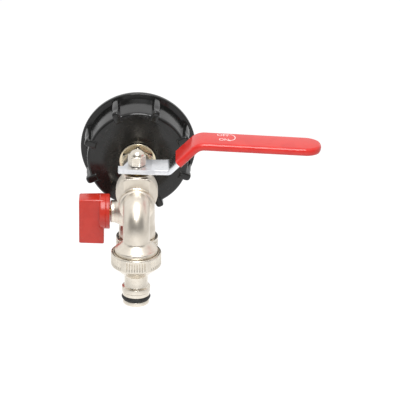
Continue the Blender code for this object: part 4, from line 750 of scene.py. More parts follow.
def on_line(line, distance):
    stations, distances, _ = line
    for i in range(len(distances) - 1):
        if distance <= distances[i + 1] or i == len(distances) - 2:
            share = (distance - distances[i]) / (distances[i + 1] - distances[i])
            (before, slope_before), (after, slope_after) = stations[i : i + 2]
            return before.lerp(after, share), slope_before + (slope_after - slope_before) * share


def strip(name, line, start, end, half_width, half_thick, edge, edge_steps, tip):
    """A bent bar along the lever's line, with a rounded tip in plan and rounded edges."""
    edge = min(edge, half_thick * EDGE_SHARE)
    straight = end - tip
    inner = {d for d in line[1] if start < d < straight}
    inner |= {start + STRIP_STEP * i for i in range(int((straight - start) / STRIP_STEP))}
    distances = sorted(inner | {start})
    for step in range(TIP_STEPS + 1):
        distances.append(end - tip * (1 - math.sin(TIP_SWEEP * step / TIP_STEPS)))
    grid = []
    for distance in distances:
        left = end - distance
        point, slope = on_line(line, distance)
        width = half_width
        if left < tip:
            width = half_width * math.sqrt(1 - (1 - left / tip) ** 2)
        thick = half_thick
        if left < edge:
            thick = half_thick - edge + edge * math.sqrt(1 - (1 - left / edge) ** 2)
        corner = min(edge, width * EDGE_SHARE, thick * EDGE_SHARE)
        normal = normal_to(slope)
        centre = Vector((point.x, LEVER_CENTRE_Y, point.z))
        row = []
        for quarter, (side, up) in enumerate(((1, 1), (-1, 1), (-1, -1), (1, -1))):
            for step in range(edge_steps + 1):
                angle = math.radians(90 * (quarter + step / edge_steps))
                across = side * (width - corner) + corner * math.cos(angle)
                lift = up * (thick - corner) + corner * math.sin(angle)
                row.append(centre + Vector((0, across, 0)) + normal * lift)
        grid.append(row)
    first = sum(grid[0], Vector()) / len(grid[0])
    last = sum(grid[-1], Vector()) / len(grid[-1])
    return surface(name, [[first], *grid, [last]], closed=False)


def soften(piece, width, segments):
    """Round the crisp edges of a piece."""
    bevel = piece.modifiers.new("soft edges", "BEVEL")
    bevel.width = width
    bevel.segments = segments
    bevel.limit_method = "ANGLE"
    bevel.angle_limit = math.radians(50)
    return settle(piece)


def flat_plate(name, outline, low, high):
    """An upright prism over an outline in XY."""
    bm = bmesh.new()
    bottom = [bm.verts.new((x, y, low)) for x, y in outline]
    top = [bm.verts.new((x, y, high)) for x, y in outline]
    bm.faces.new(bottom)
    bm.faces.new(top)
    for i in range(len(outline)):
        j = (i + 1) % len(outline)
        bm.faces.new((bottom[i], bottom[j], top[j], top[i]))
    bmesh.ops.recalc_face_normals(bm, faces=bm.faces)
    return piece_from(name, bm)


def make_lever(line):
    end = line[1][-1] - SLEEVE_SIDE
    wide = LEVER_HALF
    lever = strip("bent_lever", line, 0, end, wide, LEVER_THICK / 2, LEVER_EDGE, LEVER_EDGE_STEPS, wide)
    back = STEM_Y + LEVER_BACK
    outline = [
        (-2 * LEVER_LEFT, STEM_Y - TAB_CORNER),
        (-LEVER_LEFT + TAB_LENGTH, STEM_Y - TAB_CORNER),
        (-TAB_SLANT_X, STEM_Y + LEVER_BACK * TAB_SLANT_SHARE),
        (-TAB_SLANT_X, back + PAST),
        (-2 * LEVER_LEFT, back + PAST),
    ]
    low = LEVER_BOTTOM - PAST
    high = LEVER_BOTTOM + LEVER_THICK + PAST
    hole = rod("hole", STEM_HOLE, low, high, STEM_PLACE)
    far_corner = (STEM_HOLE * 2, STEM_Y + STEM_FLATS, high * 2)
    flats = box_piece("flats", (-STEM_HOLE * 2, STEM_Y - STEM_FLATS, 0), far_corner)
    hole = combine(hole, "INTERSECT", flats)
    front = STEM_Y - LEVER_FRONT
    tip_front = front + LEVER_TAPER
    taper = [
        (-2 * LEVER_LEFT, front - PAST),
        (LEVER_TAPER_X, front - PAST),
        (LEVER_TAPER_X, front),
        (-LEVER_LEFT + TAB_ROUND, tip_front),
        (-LEVER_LEFT + 0.3 * TAB_ROUND, tip_front + 0.3 * TAB_ROUND),
        (-LEVER_LEFT, tip_front + TAB_ROUND),
        (-2 * LEVER_LEFT, tip_front + TAB_ROUND),
    ]
    tab = flat_plate("corner", outline, low, high)
    return combine(lever, "DIFFERENCE", tab, flat_plate("taper", taper, low, high), hole)


def make_sleeve(line):
    start = line[2] + SLEEVE_START
    end = line[1][-1]
    cavity = LEVER_THICK / 2 + STRIP_GAP
    wide = LEVER_HALF + SLEEVE_SIDE
    thick = cavity + SLEEVE_WALL
    sleeve = strip("dipped_sleeve", line, start, end, wide, thick, SLEEVE_EDGE, SLEEVE_EDGE_STEPS, wide)
    inside = LEVER_HALF + STRIP_GAP
    hollow_end = end - SLEEVE_SIDE + STRIP_GAP
    hollow = strip(
        "hollow", line, start - PAST, hollow_end, inside, cavity, CAVITY_EDGE, LEVER_EDGE_STEPS, inside
    )
    return combine(sleeve, "DIFFERENCE", hollow)


# Domed nut, and the brass ring under the lever
NUT_FLATS = 10 * MM
NUT_TURN = math.radians(-7)
NUT_HEX_HEIGHT = 6.3 * MM
NUT_HEIGHT = 9.8 * MM
NUT_DOME = 4.9 * MM
NUT_DOME_END = 27  # degrees above the dome's widest place, where it meets the hexagon
NUT_BORE = 3 * MM
NUT_BORE_DEPTH = 7 * MM
NUT_FACE = 0.96  # share of the distance to its flats
NUT_BLUNT = 0.98
NUT_TOP_CHAMFER = 0.75 * MM
NUT_FOOT_CHAMFER = 0.5 * MM
GLAND_HOLE = 3.1 * MM
GLAND_FLANGE = 6.5 * MM
GLAND_FLANGE_THICK = 1.2 * MM
GLAND_NECK = 4.9 * MM
GLAND_NECK_DEPTH = 1.1 * MM


def make_nut():
    corner = hexagon_corner(NUT_FLATS)
    face = NUT_FLATS / 2 * NUT_FACE
    hex_top = NUT_BOTTOM + NUT_HEX_HEIGHT
    top = NUT_BOTTOM + NUT_HEIGHT
    section = arc(0, top - NUT_DOME, NUT_DOME, 90, NUT_DOME_END, 14)
    section[0] = (0, top)
    section += [(face - 0.25 * MM, hex_top + 0.15 * MM), (face - 0.12 * MM, hex_top)]
    first_hex = len(section)
    hex_rows = []
    for share in (0, 0.25, 0.5, 0.75, 1):
        hex_rows.append((hex_top - NUT_TOP_CHAMFER * share, face + (corner - face) * math.sqrt(share)))
    for share in (1, 0.5, 0):
        hex_rows.append((NUT_BOTTOM + NUT_FOOT_CHAMFER * share, face + (corner - face) * share))
    section += [(corner, height) for height, _ in hex_rows]
    bore_top = NUT_BOTTOM + NUT_BORE_DEPTH
    section += [(NUT_BORE, NUT_BOTTOM), (NUT_BORE, bore_top), (0, bore_top)]
    limits = [limit for _, limit in hex_rows]
    hexed = hexagon_shape(first_hex, limits, NUT_FLATS, math.radians(30) + NUT_TURN, corner * NUT_BLUNT)
    return turned("domed_nut", section, STEM_PLACE, HEX_ROUND, hexed)


def make_gland():
    high = GLAND_BOTTOM + GLAND_FLANGE_THICK
    low = GLAND_BOTTOM - GLAND_NECK_DEPTH
    corners = [
        (GLAND_HOLE, high, 0.15 * MM, 2),
        (GLAND_FLANGE, high, 0.4 * MM, 4),
        (GLAND_FLANGE, GLAND_BOTTOM, 0.2 * MM, 2),
        (GLAND_NECK, GLAND_BOTTOM, 0.1 * MM, 2),
        (GLAND_NECK, low, 0.2 * MM, 2),
        (GLAND_HOLE, low, 0.15 * MM, 2),
    ]
    return turned("gland_ring", rounded(corners), STEM_PLACE)


# Print on the sleeve: the middle, width and depth of each word, and the bent arrow
OFF_WORD = ("OFF", 52.7 * MM, -63.6 * MM, 7.4 * MM, 3.1 * MM)
ON_WORD = ("ON", 53.0 * MM, -70.6 * MM, 5.8 * MM, 3.4 * MM)
ARROW_X = 56.6 * MM
ARROW_BULGE = 3.4 * MM
ARROW_BACK_Y = -62.4 * MM
ARROW_FRONT_Y = -71.4 * MM
ARROW_HALF_WIDTH = 0.28 * MM
ARROW_HEAD = 1.5 * MM
ARROW_BARB = 0.7 * MM
ARROW_SWEEP = 84  # degrees to each side of the bow's middle
ARROW_STEPS = 20
INK_THICK = 0.03 * MM
INK_PROUD = 0.02 * MM


def sleeve_top(line):
    """The place on the sleeve's flat top above x = 0 of its straight run, with its droop."""
    tip, slope = line[0][-1]
    lift = LEVER_THICK / 2 + STRIP_GAP + SLEEVE_WALL
    point = tip + normal_to(slope) * lift
    along = Vector((math.cos(slope), 0, math.sin(slope)))
    origin = point - along * (point.x / along.x)
    return Matrix.Translation(origin) @ Matrix.Rotation(DROOP, 4, "Y")


def make_word(word, x, y, width, depth, place):
    letters = bpy.data.curves.new(word, "FONT")
    letters.body = word
    letters.extrude = INK_THICK / 2
    letters.resolution_u = 6
    piece = settle(new_piece(f"print_{word.lower()}", letters))
    corners = [Vector(corner) for corner in piece.bound_box]
    low = Vector([min(corner[i] for corner in corners) for i in range(3)])
    high = Vector([max(corner[i] for corner in corners) for i in range(3)])
    centre = (low + high) / 2
    fit = Matrix.Diagonal((width / (high.x - low.x), depth / (high.y - low.y), 1, 1))
    lift = Matrix.Translation((x, y, INK_PROUD - INK_THICK / 2))
    piece.data.transform(place @ lift @ fit @ Matrix.Translation((-centre.x, -centre.y, 0)))
    return piece


def make_arrow(place):
    """A bow that bulges towards the tip, with a small head at its front end."""
    middle_y = (ARROW_BACK_Y + ARROW_FRONT_Y) / 2
    half = (ARROW_BACK_Y - ARROW_FRONT_Y) / 2
    outer = []
    inner = []
    for step in range(ARROW_STEPS + 1):
        angle = math.radians(-ARROW_SWEEP + 2 * ARROW_SWEEP * step / ARROW_STEPS)
        away = Vector((math.cos(angle) * ARROW_BULGE, math.sin(angle) * half))
        normal = Vector((math.cos(angle) * half, math.sin(angle) * ARROW_BULGE)).normalized()
        centre = Vector((ARROW_X, middle_y)) + away
        outer.append(centre + normal * ARROW_HALF_WIDTH)
        inner.append(centre - normal * ARROW_HALF_WIDTH)
    tip = Vector((ARROW_X - ARROW_HEAD, middle_y - half))
    head = [inner[0] + Vector((0, ARROW_BARB)), tip, outer[0] + Vector((0, -ARROW_BARB))]
    outline = list(reversed(inner)) + head + outer
    piece = flat_plate("print_arrow", [(p.x, p.y) for p in outline], INK_PROUD - INK_THICK, INK_PROUD)
    piece.data.transform(place)
    return piece


# Small handle
HUB = 11 * MM
HUB_LENGTH = 6.5 * MM
HUB_GROOVE = 4.1 * MM  # from the hub's outer end
PADDLE_OVERLAP = 2.8 * MM
PADDLE_HALF = 5.65 * MM
PADDLE_ABOVE = 10.1 * MM
PADDLE_BELOW = 20 * MM
PADDLE_DRAFT = 0.4 * MM
PADDLE_EDGE = 0.9 * MM
DRIVE_END = 21.9 * MM
DRIVE_HALF = 1.8 * MM
WELL_FLOOR = 23 * MM
WELL = 3.6 * MM
SCREW_HOLE = 1.75 * MM
SCREW_HEAD = 2.8 * MM
SCREW_HEAD_HEIGHT = 2 * MM
SCREW_SHANK = 1.35 * MM
SCREW_LENGTH = 6 * MM
SCREW_RECESS = 1.1 * MM
# The head's dome: shares of its radius, and the drop from its top
SCREW_DOME = ((0.35, 0.05 * MM), (0.65, 0.3 * MM), (0.88, 0.75 * MM))


def make_small_handle():
    end = HUB_START + HUB_LENGTH
    groove = end - HUB_GROOVE
    corners = [
        (0, HUB_START, 0, 1),
        (HUB, HUB_START, 0.6 * MM, 4),
        (HUB, groove, 0.1 * MM, 2),
        (HUB - 0.3 * MM, groove + 0.2 * MM, 0.1 * MM, 2),
        (HUB, groove + 0.4 * MM, 0.1 * MM, 2),
        (HUB, end, 0.9 * MM, 6),
        (0, end, 0, 1),
    ]
    handle = turned("red_handle", rounded(corners, closed=False), SIDE_VALVE_PLACE, FINE_ROUND)
    start = end - PADDLE_OVERLAP
    low = (-PADDLE_END, BRANCH_Y - PADDLE_HALF, SIDE_VALVE_Z - PADDLE_BELOW)
    high = (-start, BRANCH_Y + PADDLE_HALF, SIDE_VALVE_Z + PADDLE_ABOVE)
    paddle = box_piece("paddle", low, high)
    for vertex in paddle.data.vertices:
        if vertex.co.x < -(start + PADDLE_END) / 2:
            vertex.co.z += PADDLE_DRAFT if vertex.co.z < SIDE_VALVE_Z else -PADDLE_DRAFT
    paddle = soften(paddle, PADDLE_EDGE, 5)
    handle = combine(handle, "UNION", paddle)
    drive_low = (-DRIVE_HALF, -DRIVE_HALF, HUB_START - PAST)
    drive = box_piece("drive", drive_low, (DRIVE_HALF, DRIVE_HALF, DRIVE_END + GAP), SIDE_VALVE_PLACE)
    screw_hole = rod("screw_hole", SCREW_HOLE, DRIVE_END, WELL_FLOOR + PAST, SIDE_VALVE_PLACE, 32)
    well = rod("well", WELL, WELL_FLOOR, PADDLE_END + PAST, SIDE_VALVE_PLACE)
    return combine(handle, "DIFFERENCE", drive, screw_hole, well)


def make_handle_screw():
    head = SCREW_HEAD
    shank = SCREW_SHANK
    low = WELL_FLOOR + GAP
    high = low + SCREW_HEAD_HEIGHT
    end = high - SCREW_LENGTH
    section = [(0, high)] + [(head * share, high - drop) for share, drop in SCREW_DOME]
    section += [(head, low + 0.7 * MM), (head, low + 0.1 * MM), (head - 0.1 * MM, low), (shank, low)]
    section += [(shank, end + 0.3 * MM), (shank - 0.3 * MM, end), (0, end)]
    screw = turned("pan_head_screw", section, SIDE_VALVE_PLACE, SMALL_ROUND)
    arm = head * 0.6
    blade = head * 0.15
    for x, y in ((arm, blade), (blade, arm)):
        slot = box_piece("slot", (-x, -y, high - SCREW_RECESS), (x, y, high + PAST), SIDE_VALVE_PLACE)
        screw = combine(screw, "DIFFERENCE", slot)
    return screw


# Lower outlet
OUTLET_CREST = 13.2 * MM
OUTLET_ROOT = 11.9 * MM
OUTLET_PITCH = 1.814 * MM
OUTLET_SHOULDER = 0.9 * MM
OUTLET_MOUTH = 9.4 * MM
OUTLET_MOUTH_DEPTH = 9 * MM
SMALL_SPIGOT = 6.7 * MM
OUTLET_THREAD_INSET = 0.3 * MM  # the thread starts this far below the shoulder
OUTLET_THREAD_LEAD = 0.5 * MM
OUTLET_THREAD_FLANK = 0.72 * MM
OUTLET_THREAD_CREST = 0.2 * MM
OUTLET_ROWS = 96


def make_lower_outlet():
    shoulder = OUTLET_SHOULDER_TOP - OUTLET_SHOULDER
    spigot_top = SIDE_VALVE_Z - SMALL_SEAT_REACH
    upper = [
        (SMALL_PORT, spigot_top, 0.2 * MM, 2),
        (SMALL_SPIGOT, spigot_top, 0.2 * MM, 2),
        (SMALL_SPIGOT, OUTLET_SHOULDER_TOP, 0.1 * MM, 2),
        (OUTLET_CREST, OUTLET_SHOULDER_TOP, 0.4 * MM, 4),
        (OUTLET_CREST, shoulder, 0.3 * MM, 3),
        (OUTLET_ROOT, shoulder - OUTLET_THREAD_INSET, 0.0, 1),
    ]
    section = rounded(upper, closed=False)[:-1]
    first = len(section)
    top = shoulder - OUTLET_THREAD_INSET
    section += even_rows(OUTLET_ROOT, top, OUTLET_BOTTOM + 0.2 * MM, OUTLET_ROWS)
    threaded = len(section)
    section += [(OUTLET_ROOT - 0.3 * MM, OUTLET_BOTTOM), (OUTLET_MOUTH + 0.4 * MM, OUTLET_BOTTOM)]
    mouth_top = OUTLET_BOTTOM + OUTLET_MOUTH_DEPTH
    section += [(OUTLET_MOUTH, OUTLET_BOTTOM + 0.4 * MM), (OUTLET_MOUTH, mouth_top)]
    section += [(SMALL_PORT, mouth_top + OUTLET_MOUTH - SMALL_PORT)]
    turns = (top - OUTLET_BOTTOM) / OUTLET_PITCH - 0.6
    thread = (OUTLET_THREAD_LEAD, OUTLET_PITCH, turns, OUTLET_THREAD_FLANK, OUTLET_THREAD_CREST)

    def threaded_radius(i, radius, height, angle):
        if not first <= i < threaded:
            return radius
        return OUTLET_ROOT + (OUTLET_CREST - OUTLET_ROOT) * thread_height(top - height, angle, *thread)

    return turned("threaded_outlet", section, BRANCH_PLACE, ROUND, threaded_radius)


# Hose connector, by distance below its top
RING = 15.4 * MM
RIB_DEPTH = 0.5 * MM
RING_HEIGHT = 7.8 * MM
RING_LIP = 1.1 * MM
RIB_GROUPS = 6
RIBS_IN_GROUP = 7
RIB_STEP = math.radians(6.2)
RIB_GROUP_EDGE = math.radians(1.2)
RIB_FADE_TOP = 0.7 * MM
RIB_FADE_FOOT = 2.4 * MM
RING_BORE = 13.4 * MM
RING_BORE_DEPTH = 8.5 * MM
NECK = 7.15 * MM
NECK_TOP = 15.4 * MM
NECK_FOOT = 22.4 * MM
NIPPLE_COLLAR = 8.75 * MM
NIPPLE_COLLAR_TOP = 22.9 * MM
NIPPLE_COLLAR_FOOT = 25.8 * MM
NIPPLE = 8.4 * MM
NIPPLE_TOP = 26.3 * MM
GROOVE = 6.2 * MM
GROOVE_TOP = 28.4 * MM
GROOVE_BOTTOM = 31.4 * MM
TIP = 8.15 * MM
NIPPLE_LENGTH = 34.4 * MM
NIPPLE_BORE = 5.2 * MM
NIPPLE_RING = 1.2 * MM
RIBBED_ROWS = 14


def rib_lift(angle):
    """From 0 to 1: how far the ring's wall stands out at an angle, with grooves in groups."""
    sector = 2 * math.pi / RIB_GROUPS
    off = (angle + math.radians(90) + sector / 2) % sector - sector / 2
    half_group = RIBS_IN_GROUP * RIB_STEP / 2
    if abs(off) > half_group:
        return smooth_step(abs(off), half_group, half_group + RIB_GROUP_EDGE)
    return abs(math.cos(math.pi * off / RIB_STEP))


def make_hose_connector():
    top = [(RING_BORE, 0, 0.3 * MM, 2), (RING, 0, 0.5 * MM, 4), (RING, -RING_LIP, 0.0, 1)]
    section = rounded([(RING_BORE, -1 * MM, 0, 1), *top], closed=False)[1:-1]
    first = len(section)
    ribbed_height = RING_HEIGHT - RING_LIP
    section += even_rows(RING, -RING_LIP, -RING_HEIGHT, RIBBED_ROWS)
    ribbed = len(section)
    lower = [
        (RING, -RING_HEIGHT + 0.4 * MM, 0, 1),
        (RING, -RING_HEIGHT - 0.3 * MM, 0.8 * MM, 5),
        (NECK, -NECK_TOP, 0.7 * MM, 6),
        (NECK, -NECK_FOOT, 0.4 * MM, 4),
        (NIPPLE_COLLAR, -NIPPLE_COLLAR_TOP, 0.5 * MM, 4),
        (NIPPLE_COLLAR, -NIPPLE_COLLAR_FOOT, 0.3 * MM, 3),
        (NIPPLE, -NIPPLE_TOP, 0.3 * MM, 3),
        (NIPPLE, -GROOVE_TOP, 0.2 * MM, 3),
        (GROOVE, -GROOVE_TOP, 0.2 * MM, 2),
        (GROOVE, -GROOVE_BOTTOM, 0.2 * MM, 2),
        (TIP, -GROOVE_BOTTOM, 0.2 * MM, 3),
        (TIP, -NIPPLE_LENGTH, 1.0 * MM, 6),
        (NIPPLE_BORE, -NIPPLE_LENGTH, 0.4 * MM, 3),
        (NIPPLE_BORE, -RING_BORE_DEPTH, 0.2 * MM, 2),
        (RING_BORE, -RING_BORE_DEPTH, 0.3 * MM, 2),
        (RING_BORE, -1 * MM, 0, 1),
    ]
    section += rounded(lower, closed=False)[1:]

    def ribbed_radius(i, radius, height, angle):
        if not first <= i < ribbed:
            return radius
        below_lip = -RING_LIP - height
        ends = smooth_step(below_lip, 0, RIB_FADE_TOP)
        ends *= smooth_step(ribbed_height - below_lip, 0, RIB_FADE_FOOT)
        return radius - RIB_DEPTH * ends * (1 - rib_lift(angle))

    return turned("hose_fitting", section, CONNECTOR_PLACE, 3 * FINE_ROUND, ribbed_radius)


def make_nipple_ring():
    middle_height = -(GROOVE_TOP + GROOVE_BOTTOM) / 2
    section = arc(GROOVE + GAP + NIPPLE_RING, middle_height, NIPPLE_RING, 0, 345, 23)
    return turned("nipple_seal", section, CONNECTOR_PLACE)


# Shared effects, each a group that several materials use
def new_group(name, inputs, outputs):
    """An empty node group with sockets. Inputs are (name, kind, default), outputs (name, kind)."""
    group = bpy.data.node_groups.new(name, "ShaderNodeTree")
    for label, kind, default in inputs:
        socket = group.interface.new_socket(label, in_out="INPUT", socket_type=f"NodeSocket{kind}")
        if default is not None:
            socket.default_value = default
    for label, kind in outputs:
        group.interface.new_socket(label, in_out="OUTPUT", socket_type=f"NodeSocket{kind}")
    return group


class Wiring:
    """Nodes and links of one tree, added with plain calls."""

    def __init__(self, tree):
        self.tree = tree

    def add(self, kind, **settings):
        node = self.tree.nodes.new(f"ShaderNode{kind}")
        for key, value in settings.items():
            setattr(node, key, value)
        return node

    def feed(self, socket, value):
        if isinstance(value, bpy.types.NodeSocket):
            self.tree.links.new(value, socket)
        else:
            socket.default_value = value

    def math(self, operation, first, second=0.0, third=0.0):
        node = self.add("Math", operation=operation)
        for socket, value in zip(node.inputs, (first, second, third)):
            self.feed(socket, value)
        return node.outputs[0]

    def mix_colour(self, share, first, second):
        node = self.add("Mix", data_type="RGBA")
        self.feed(node.inputs["Factor"], share)
        self.feed(node.inputs[6], first)
        self.feed(node.inputs[7], second)
        return node.outputs[2]

    def ramp(self, value, low, high, to_low=0.0, to_high=1.0):
        node = self.add("MapRange", interpolation_type="SMOOTHSTEP")
        for label, number in (("From Min", low), ("From Max", high), ("To Min", to_low), ("To Max", to_high)):
            self.feed(node.inputs[label], number)
        self.feed(node.inputs["Value"], value)
        return node.outputs["Result"]

    def noise(self, vector, scale, detail, roughness):
        node = self.add("TexNoise")
        self.feed(node.inputs["Vector"], vector)
        self.feed(node.inputs["Scale"], scale)
        node.inputs["Detail"].default_value = detail
        node.inputs["Roughness"].default_value = roughness
        return node.outputs["Fac"]

    def noise_by_size(self, start, size, detail, roughness=0.5):
        """Noise over a group's vector, at the size in metres that one of its inputs gives."""
        scale = self.math("DIVIDE", 1.0, start.outputs[size])
        return self.noise(start.outputs["Vector"], scale, detail, roughness)


def group_ends(group):
    wiring = Wiring(group)
    start = group.nodes.new("NodeGroupInput")
    end = group.nodes.new("NodeGroupOutput")
    return wiring, start, end


def make_grain_group():
    """Fine moulded or cast grain: a height from two sizes of noise."""
    group = new_group(
        "surface grain",
        [
            ("Vector", "Vector", None),
            ("Grain Size", "Float", 0.3 * MM),
            ("Swell Size", "Float", 4 * MM),
            ("Swell", "Float", 0.5),
        ],
        [("Height", "Float"), ("Patches", "Float")],
    )
    wiring, start, end = group_ends(group)
    fine = wiring.noise_by_size(start, "Grain Size", 2.0)
    swell = wiring.noise_by_size(start, "Swell Size", 1.0)
    lifted = wiring.math("MULTIPLY_ADD", swell, start.outputs["Swell"], fine)
    wiring.feed(end.inputs["Height"], lifted)
    wiring.feed(end.inputs["Patches"], wiring.ramp(swell, 0.35, 0.65))
    return group


def make_wear_group():
    """Where edges have been rubbed: a mask from how convex the surface is, broken up by noise."""
    group = new_group(
        "edge wear",
        [("Vector", "Vector", None), ("Reach", "Float", 0.06), ("Break Size", "Float", 2 * MM)],
        [("Mask", "Float")],
    )
    wiring, start, end = group_ends(group)
    geometry = wiring.add("NewGeometry")
    high = wiring.math("ADD", 0.5, start.outputs["Reach"])
    convex = wiring.ramp(geometry.outputs["Pointiness"], 0.51, high)
    broken = wiring.ramp(wiring.noise_by_size(start, "Break Size", 4.0), 0.35, 0.6)
    wiring.feed(end.inputs["Mask"], wiring.math("MULTIPLY", convex, broken))
    return group


def make_handling_group():
    """Faint marks of handling: smears and small scratches, as a value that changes the gloss."""
    group = new_group(
        "handling marks",
        [("Vector", "Vector", None), ("Smear Size", "Float", 12 * MM), ("Scratches", "Float", 0.3)],
        [("Marks", "Float")],
    )
    wiring, start, end = group_ends(group)
    smear = wiring.ramp(wiring.noise_by_size(start, "Smear Size", 5.0, 0.6), 0.35, 0.7)
    stretched = wiring.add("Mapping")
    wiring.feed(stretched.inputs["Vector"], start.outputs["Vector"])
    stretched.inputs["Rotation"].default_value = (0.3, 0.5, 0.9)
    stretched.inputs["Scale"].default_value = (1, 14, 14)
    lines = wiring.ramp(wiring.noise(stretched.outputs["Vector"], 90.0, 4.0, 0.7), 0.62, 0.72)
    total = wiring.math("MULTIPLY_ADD", lines, start.outputs["Scratches"], smear)
    wiring.feed(end.inputs["Marks"], total)
    return group


def make_turning_group():
    """Rings that a lathe leaves, across one axis of the piece."""
    group = new_group(
        "turning marks",
        [("Along", "Float", 0.0), ("Pitch", "Float", 0.15 * MM)],
        [("Height", "Float")],
    )
    wiring, start, end = group_ends(group)
    turns = wiring.math("DIVIDE", start.outputs["Along"], start.outputs["Pitch"])
    uneven = wiring.add("TexNoise", noise_dimensions="1D")
    wiring.feed(uneven.inputs["W"], turns)
    uneven.inputs["Scale"].default_value = 0.45
    uneven.inputs["Detail"].default_value = 3.0
    wiring.feed(end.inputs["Height"], uneven.outputs["Fac"])
    return group


GRAIN = make_grain_group()
WEAR = make_wear_group()
HANDLING = make_handling_group()
TURNING = make_turning_group()


class Finish:
    """One material with its Principled shader, built up from the shared effects."""

    def __init__(self, name, metallic):
        self.material = bpy.data.materials.new(name)
        self.material.use_nodes = True
        self.wiring = Wiring(self.material.node_tree)
        self.shader = self.material.node_tree.nodes["Principled BSDF"]
        self.shader.inputs["Metallic"].default_value = metallic
        self.place = self.wiring.add("TexCoord").outputs["Object"]

    def effect(self, group, **values):
        node = self.wiring.add("Group", node_tree=group)
        for label, value in values.items():
            self.wiring.feed(node.inputs[label.replace("_", " ")], value)
        if "Vector" in node.inputs and "Vector" not in values:
            self.wiring.feed(node.inputs["Vector"], self.place)
        return node.outputs

    def colour(self, share, first, second):
        """Mix a colour, or one that is mixed already, with a second one."""
        if not isinstance(first, bpy.types.NodeSocket):
            first = (*first, 1)
        mixed = self.wiring.mix_colour(share, first, (*second, 1))
        self.wiring.feed(self.shader.inputs["Base Color"], mixed)
        return mixed

    def roughness(self, value, low, high):
        self.wiring.feed(self.shader.inputs["Roughness"], self.wiring.ramp(value, 0.0, 1.0, low, high))

    def bump(self, *heights):
        """Raise the surface by (height, distance in metres) pairs, one after the other."""
        normal = None
        for height, distance in heights:
            node = self.wiring.add("Bump")
            node.inputs["Strength"].default_value = 1.0
            node.inputs["Distance"].default_value = distance
            self.wiring.feed(node.inputs["Height"], height)
            if normal:
                self.wiring.feed(node.inputs["Normal"], normal)
            normal = node.outputs["Normal"]
        self.wiring.feed(self.shader.inputs["Normal"], normal)

    def stretched(self, scale):
        node = self.wiring.add("Mapping")
        self.wiring.feed(node.inputs["Vector"], self.place)
        node.inputs["Scale"].default_value = scale
        return node.outputs["Vector"]

    def along(self, axis):
        parts = self.wiring.add("SeparateXYZ")
        self.wiring.feed(parts.inputs["Vector"], self.place)
        return parts.outputs[axis]


RING_MARK_DEPTH = 0.005  # of the rings that a lathe leaves, in millimetres


def coat(
    name, colours, gloss, grain, smears=None, wear=None, rings=None, lines=None, metallic=0.0, specular=0.5
):
    """A finish from the shared effects, with its lengths in millimetres.

    colours and gloss each hold a low and a high value. grain is (size, swell size, swell, depth),
    smears (size, scratches), wear (reach, break size, share, bare colour), rings (axis, pitch) and
    lines (stretch, scale, depth).
    """
    finish = Finish(name, metallic)
    finish.shader.inputs["Specular IOR Level"].default_value = specular
    size, swell_size, swell, depth = grain
    grained = finish.effect(GRAIN, Grain_Size=size * MM, Swell_Size=swell_size * MM, Swell=swell)
    marks = grained["Patches"]
    if smears:
        marks = finish.effect(HANDLING, Smear_Size=smears[0] * MM, Scratches=smears[1])["Marks"]
    base = finish.colour(grained["Patches"], *colours)
    if wear:
        reach, break_size, share, bare = wear
        worn = finish.effect(WEAR, Reach=reach, Break_Size=break_size * MM)["Mask"]
        finish.colour(finish.wiring.math("MULTIPLY", worn, share), base, bare)
    finish.roughness(marks, *gloss)
    heights = [(grained["Height"], depth * MM)]
    if rings:
        axis, pitch = rings
        turning = finish.effect(TURNING, Along=finish.along(axis), Pitch=pitch * MM)["Height"]
        heights.append((turning, RING_MARK_DEPTH * MM))
    if lines:
        stretch, scale, line_depth = lines
        streaks = finish.wiring.noise(finish.stretched(stretch), scale, 3.0, 0.6)
        heights.append((streaks, line_depth * MM))
    finish.bump(*heights)
    return finish


def nickel_turned(name, axis, plain, patch):
    """Nickel plate over a turned piece, with faint rings across its axis."""
    wear = (0.05, 1, 0.5, (0.8, 0.76, 0.69))
    grain = (0.2, 2, 1.0, 0.004)
    rings = (axis, 0.12)
    return coat(name, (plain, patch), (0.22, 0.31), grain, (6, 0.5), wear, rings, metallic=1.0).material


def machined_brass(name, axis, plain, patch):
    grain = (0.25, 2.5, 0.8, 0.003)
    return coat(name, (plain, patch), (0.2, 0.34), grain, (5, 0.5), rings=(axis, 0.15), metallic=1.0).material


def zinc_plate():
    """Bright zinc over rolled steel: bluish, with faint lines along the strip, and brighter past its fold."""
    finish = coat(
        "bright zinc plate", ((0.72, 0.735, 0.765), (0.78, 0.785, 0.805)), (0.34, 0.4),
        (0.22, 3.5, 1.2, 0.0012), (8, 0.6), (0.06, 1.5, 0.6, (0.87, 0.87, 0.885)),
        lines=((0.06, 1, 1), 2600.0, 0.0008), metallic=1.0,
    )
    rough = finish.shader.inputs["Roughness"]
    dull = rough.links[0].from_socket
    polish = finish.wiring.ramp(finish.along("X"), FOLD_X - 0.5 * MM, FOLD_X + 0.5 * MM, 1.0, 0.45)
    finish.wiring.feed(rough, finish.wiring.math("MULTIPLY", dull, polish))
    return finish.material


CAP_PLASTIC = coat(
    "black moulded plastic", ((0.0095, 0.0095, 0.009), (0.0125, 0.0125, 0.012)), (0.13, 0.22),
    (0.35, 6, 0.6, 0.005), (14, 0.35), (0.08, 3, 1.0, (0.03, 0.03, 0.029)), specular=0.42,
).material
RUBBER = coat(
    "black rubber", ((0.011, 0.011, 0.011), (0.017, 0.017, 0.0165)), (0.42, 0.6),
    (0.2, 3, 0.8, 0.01), (5, 0.2),
).material
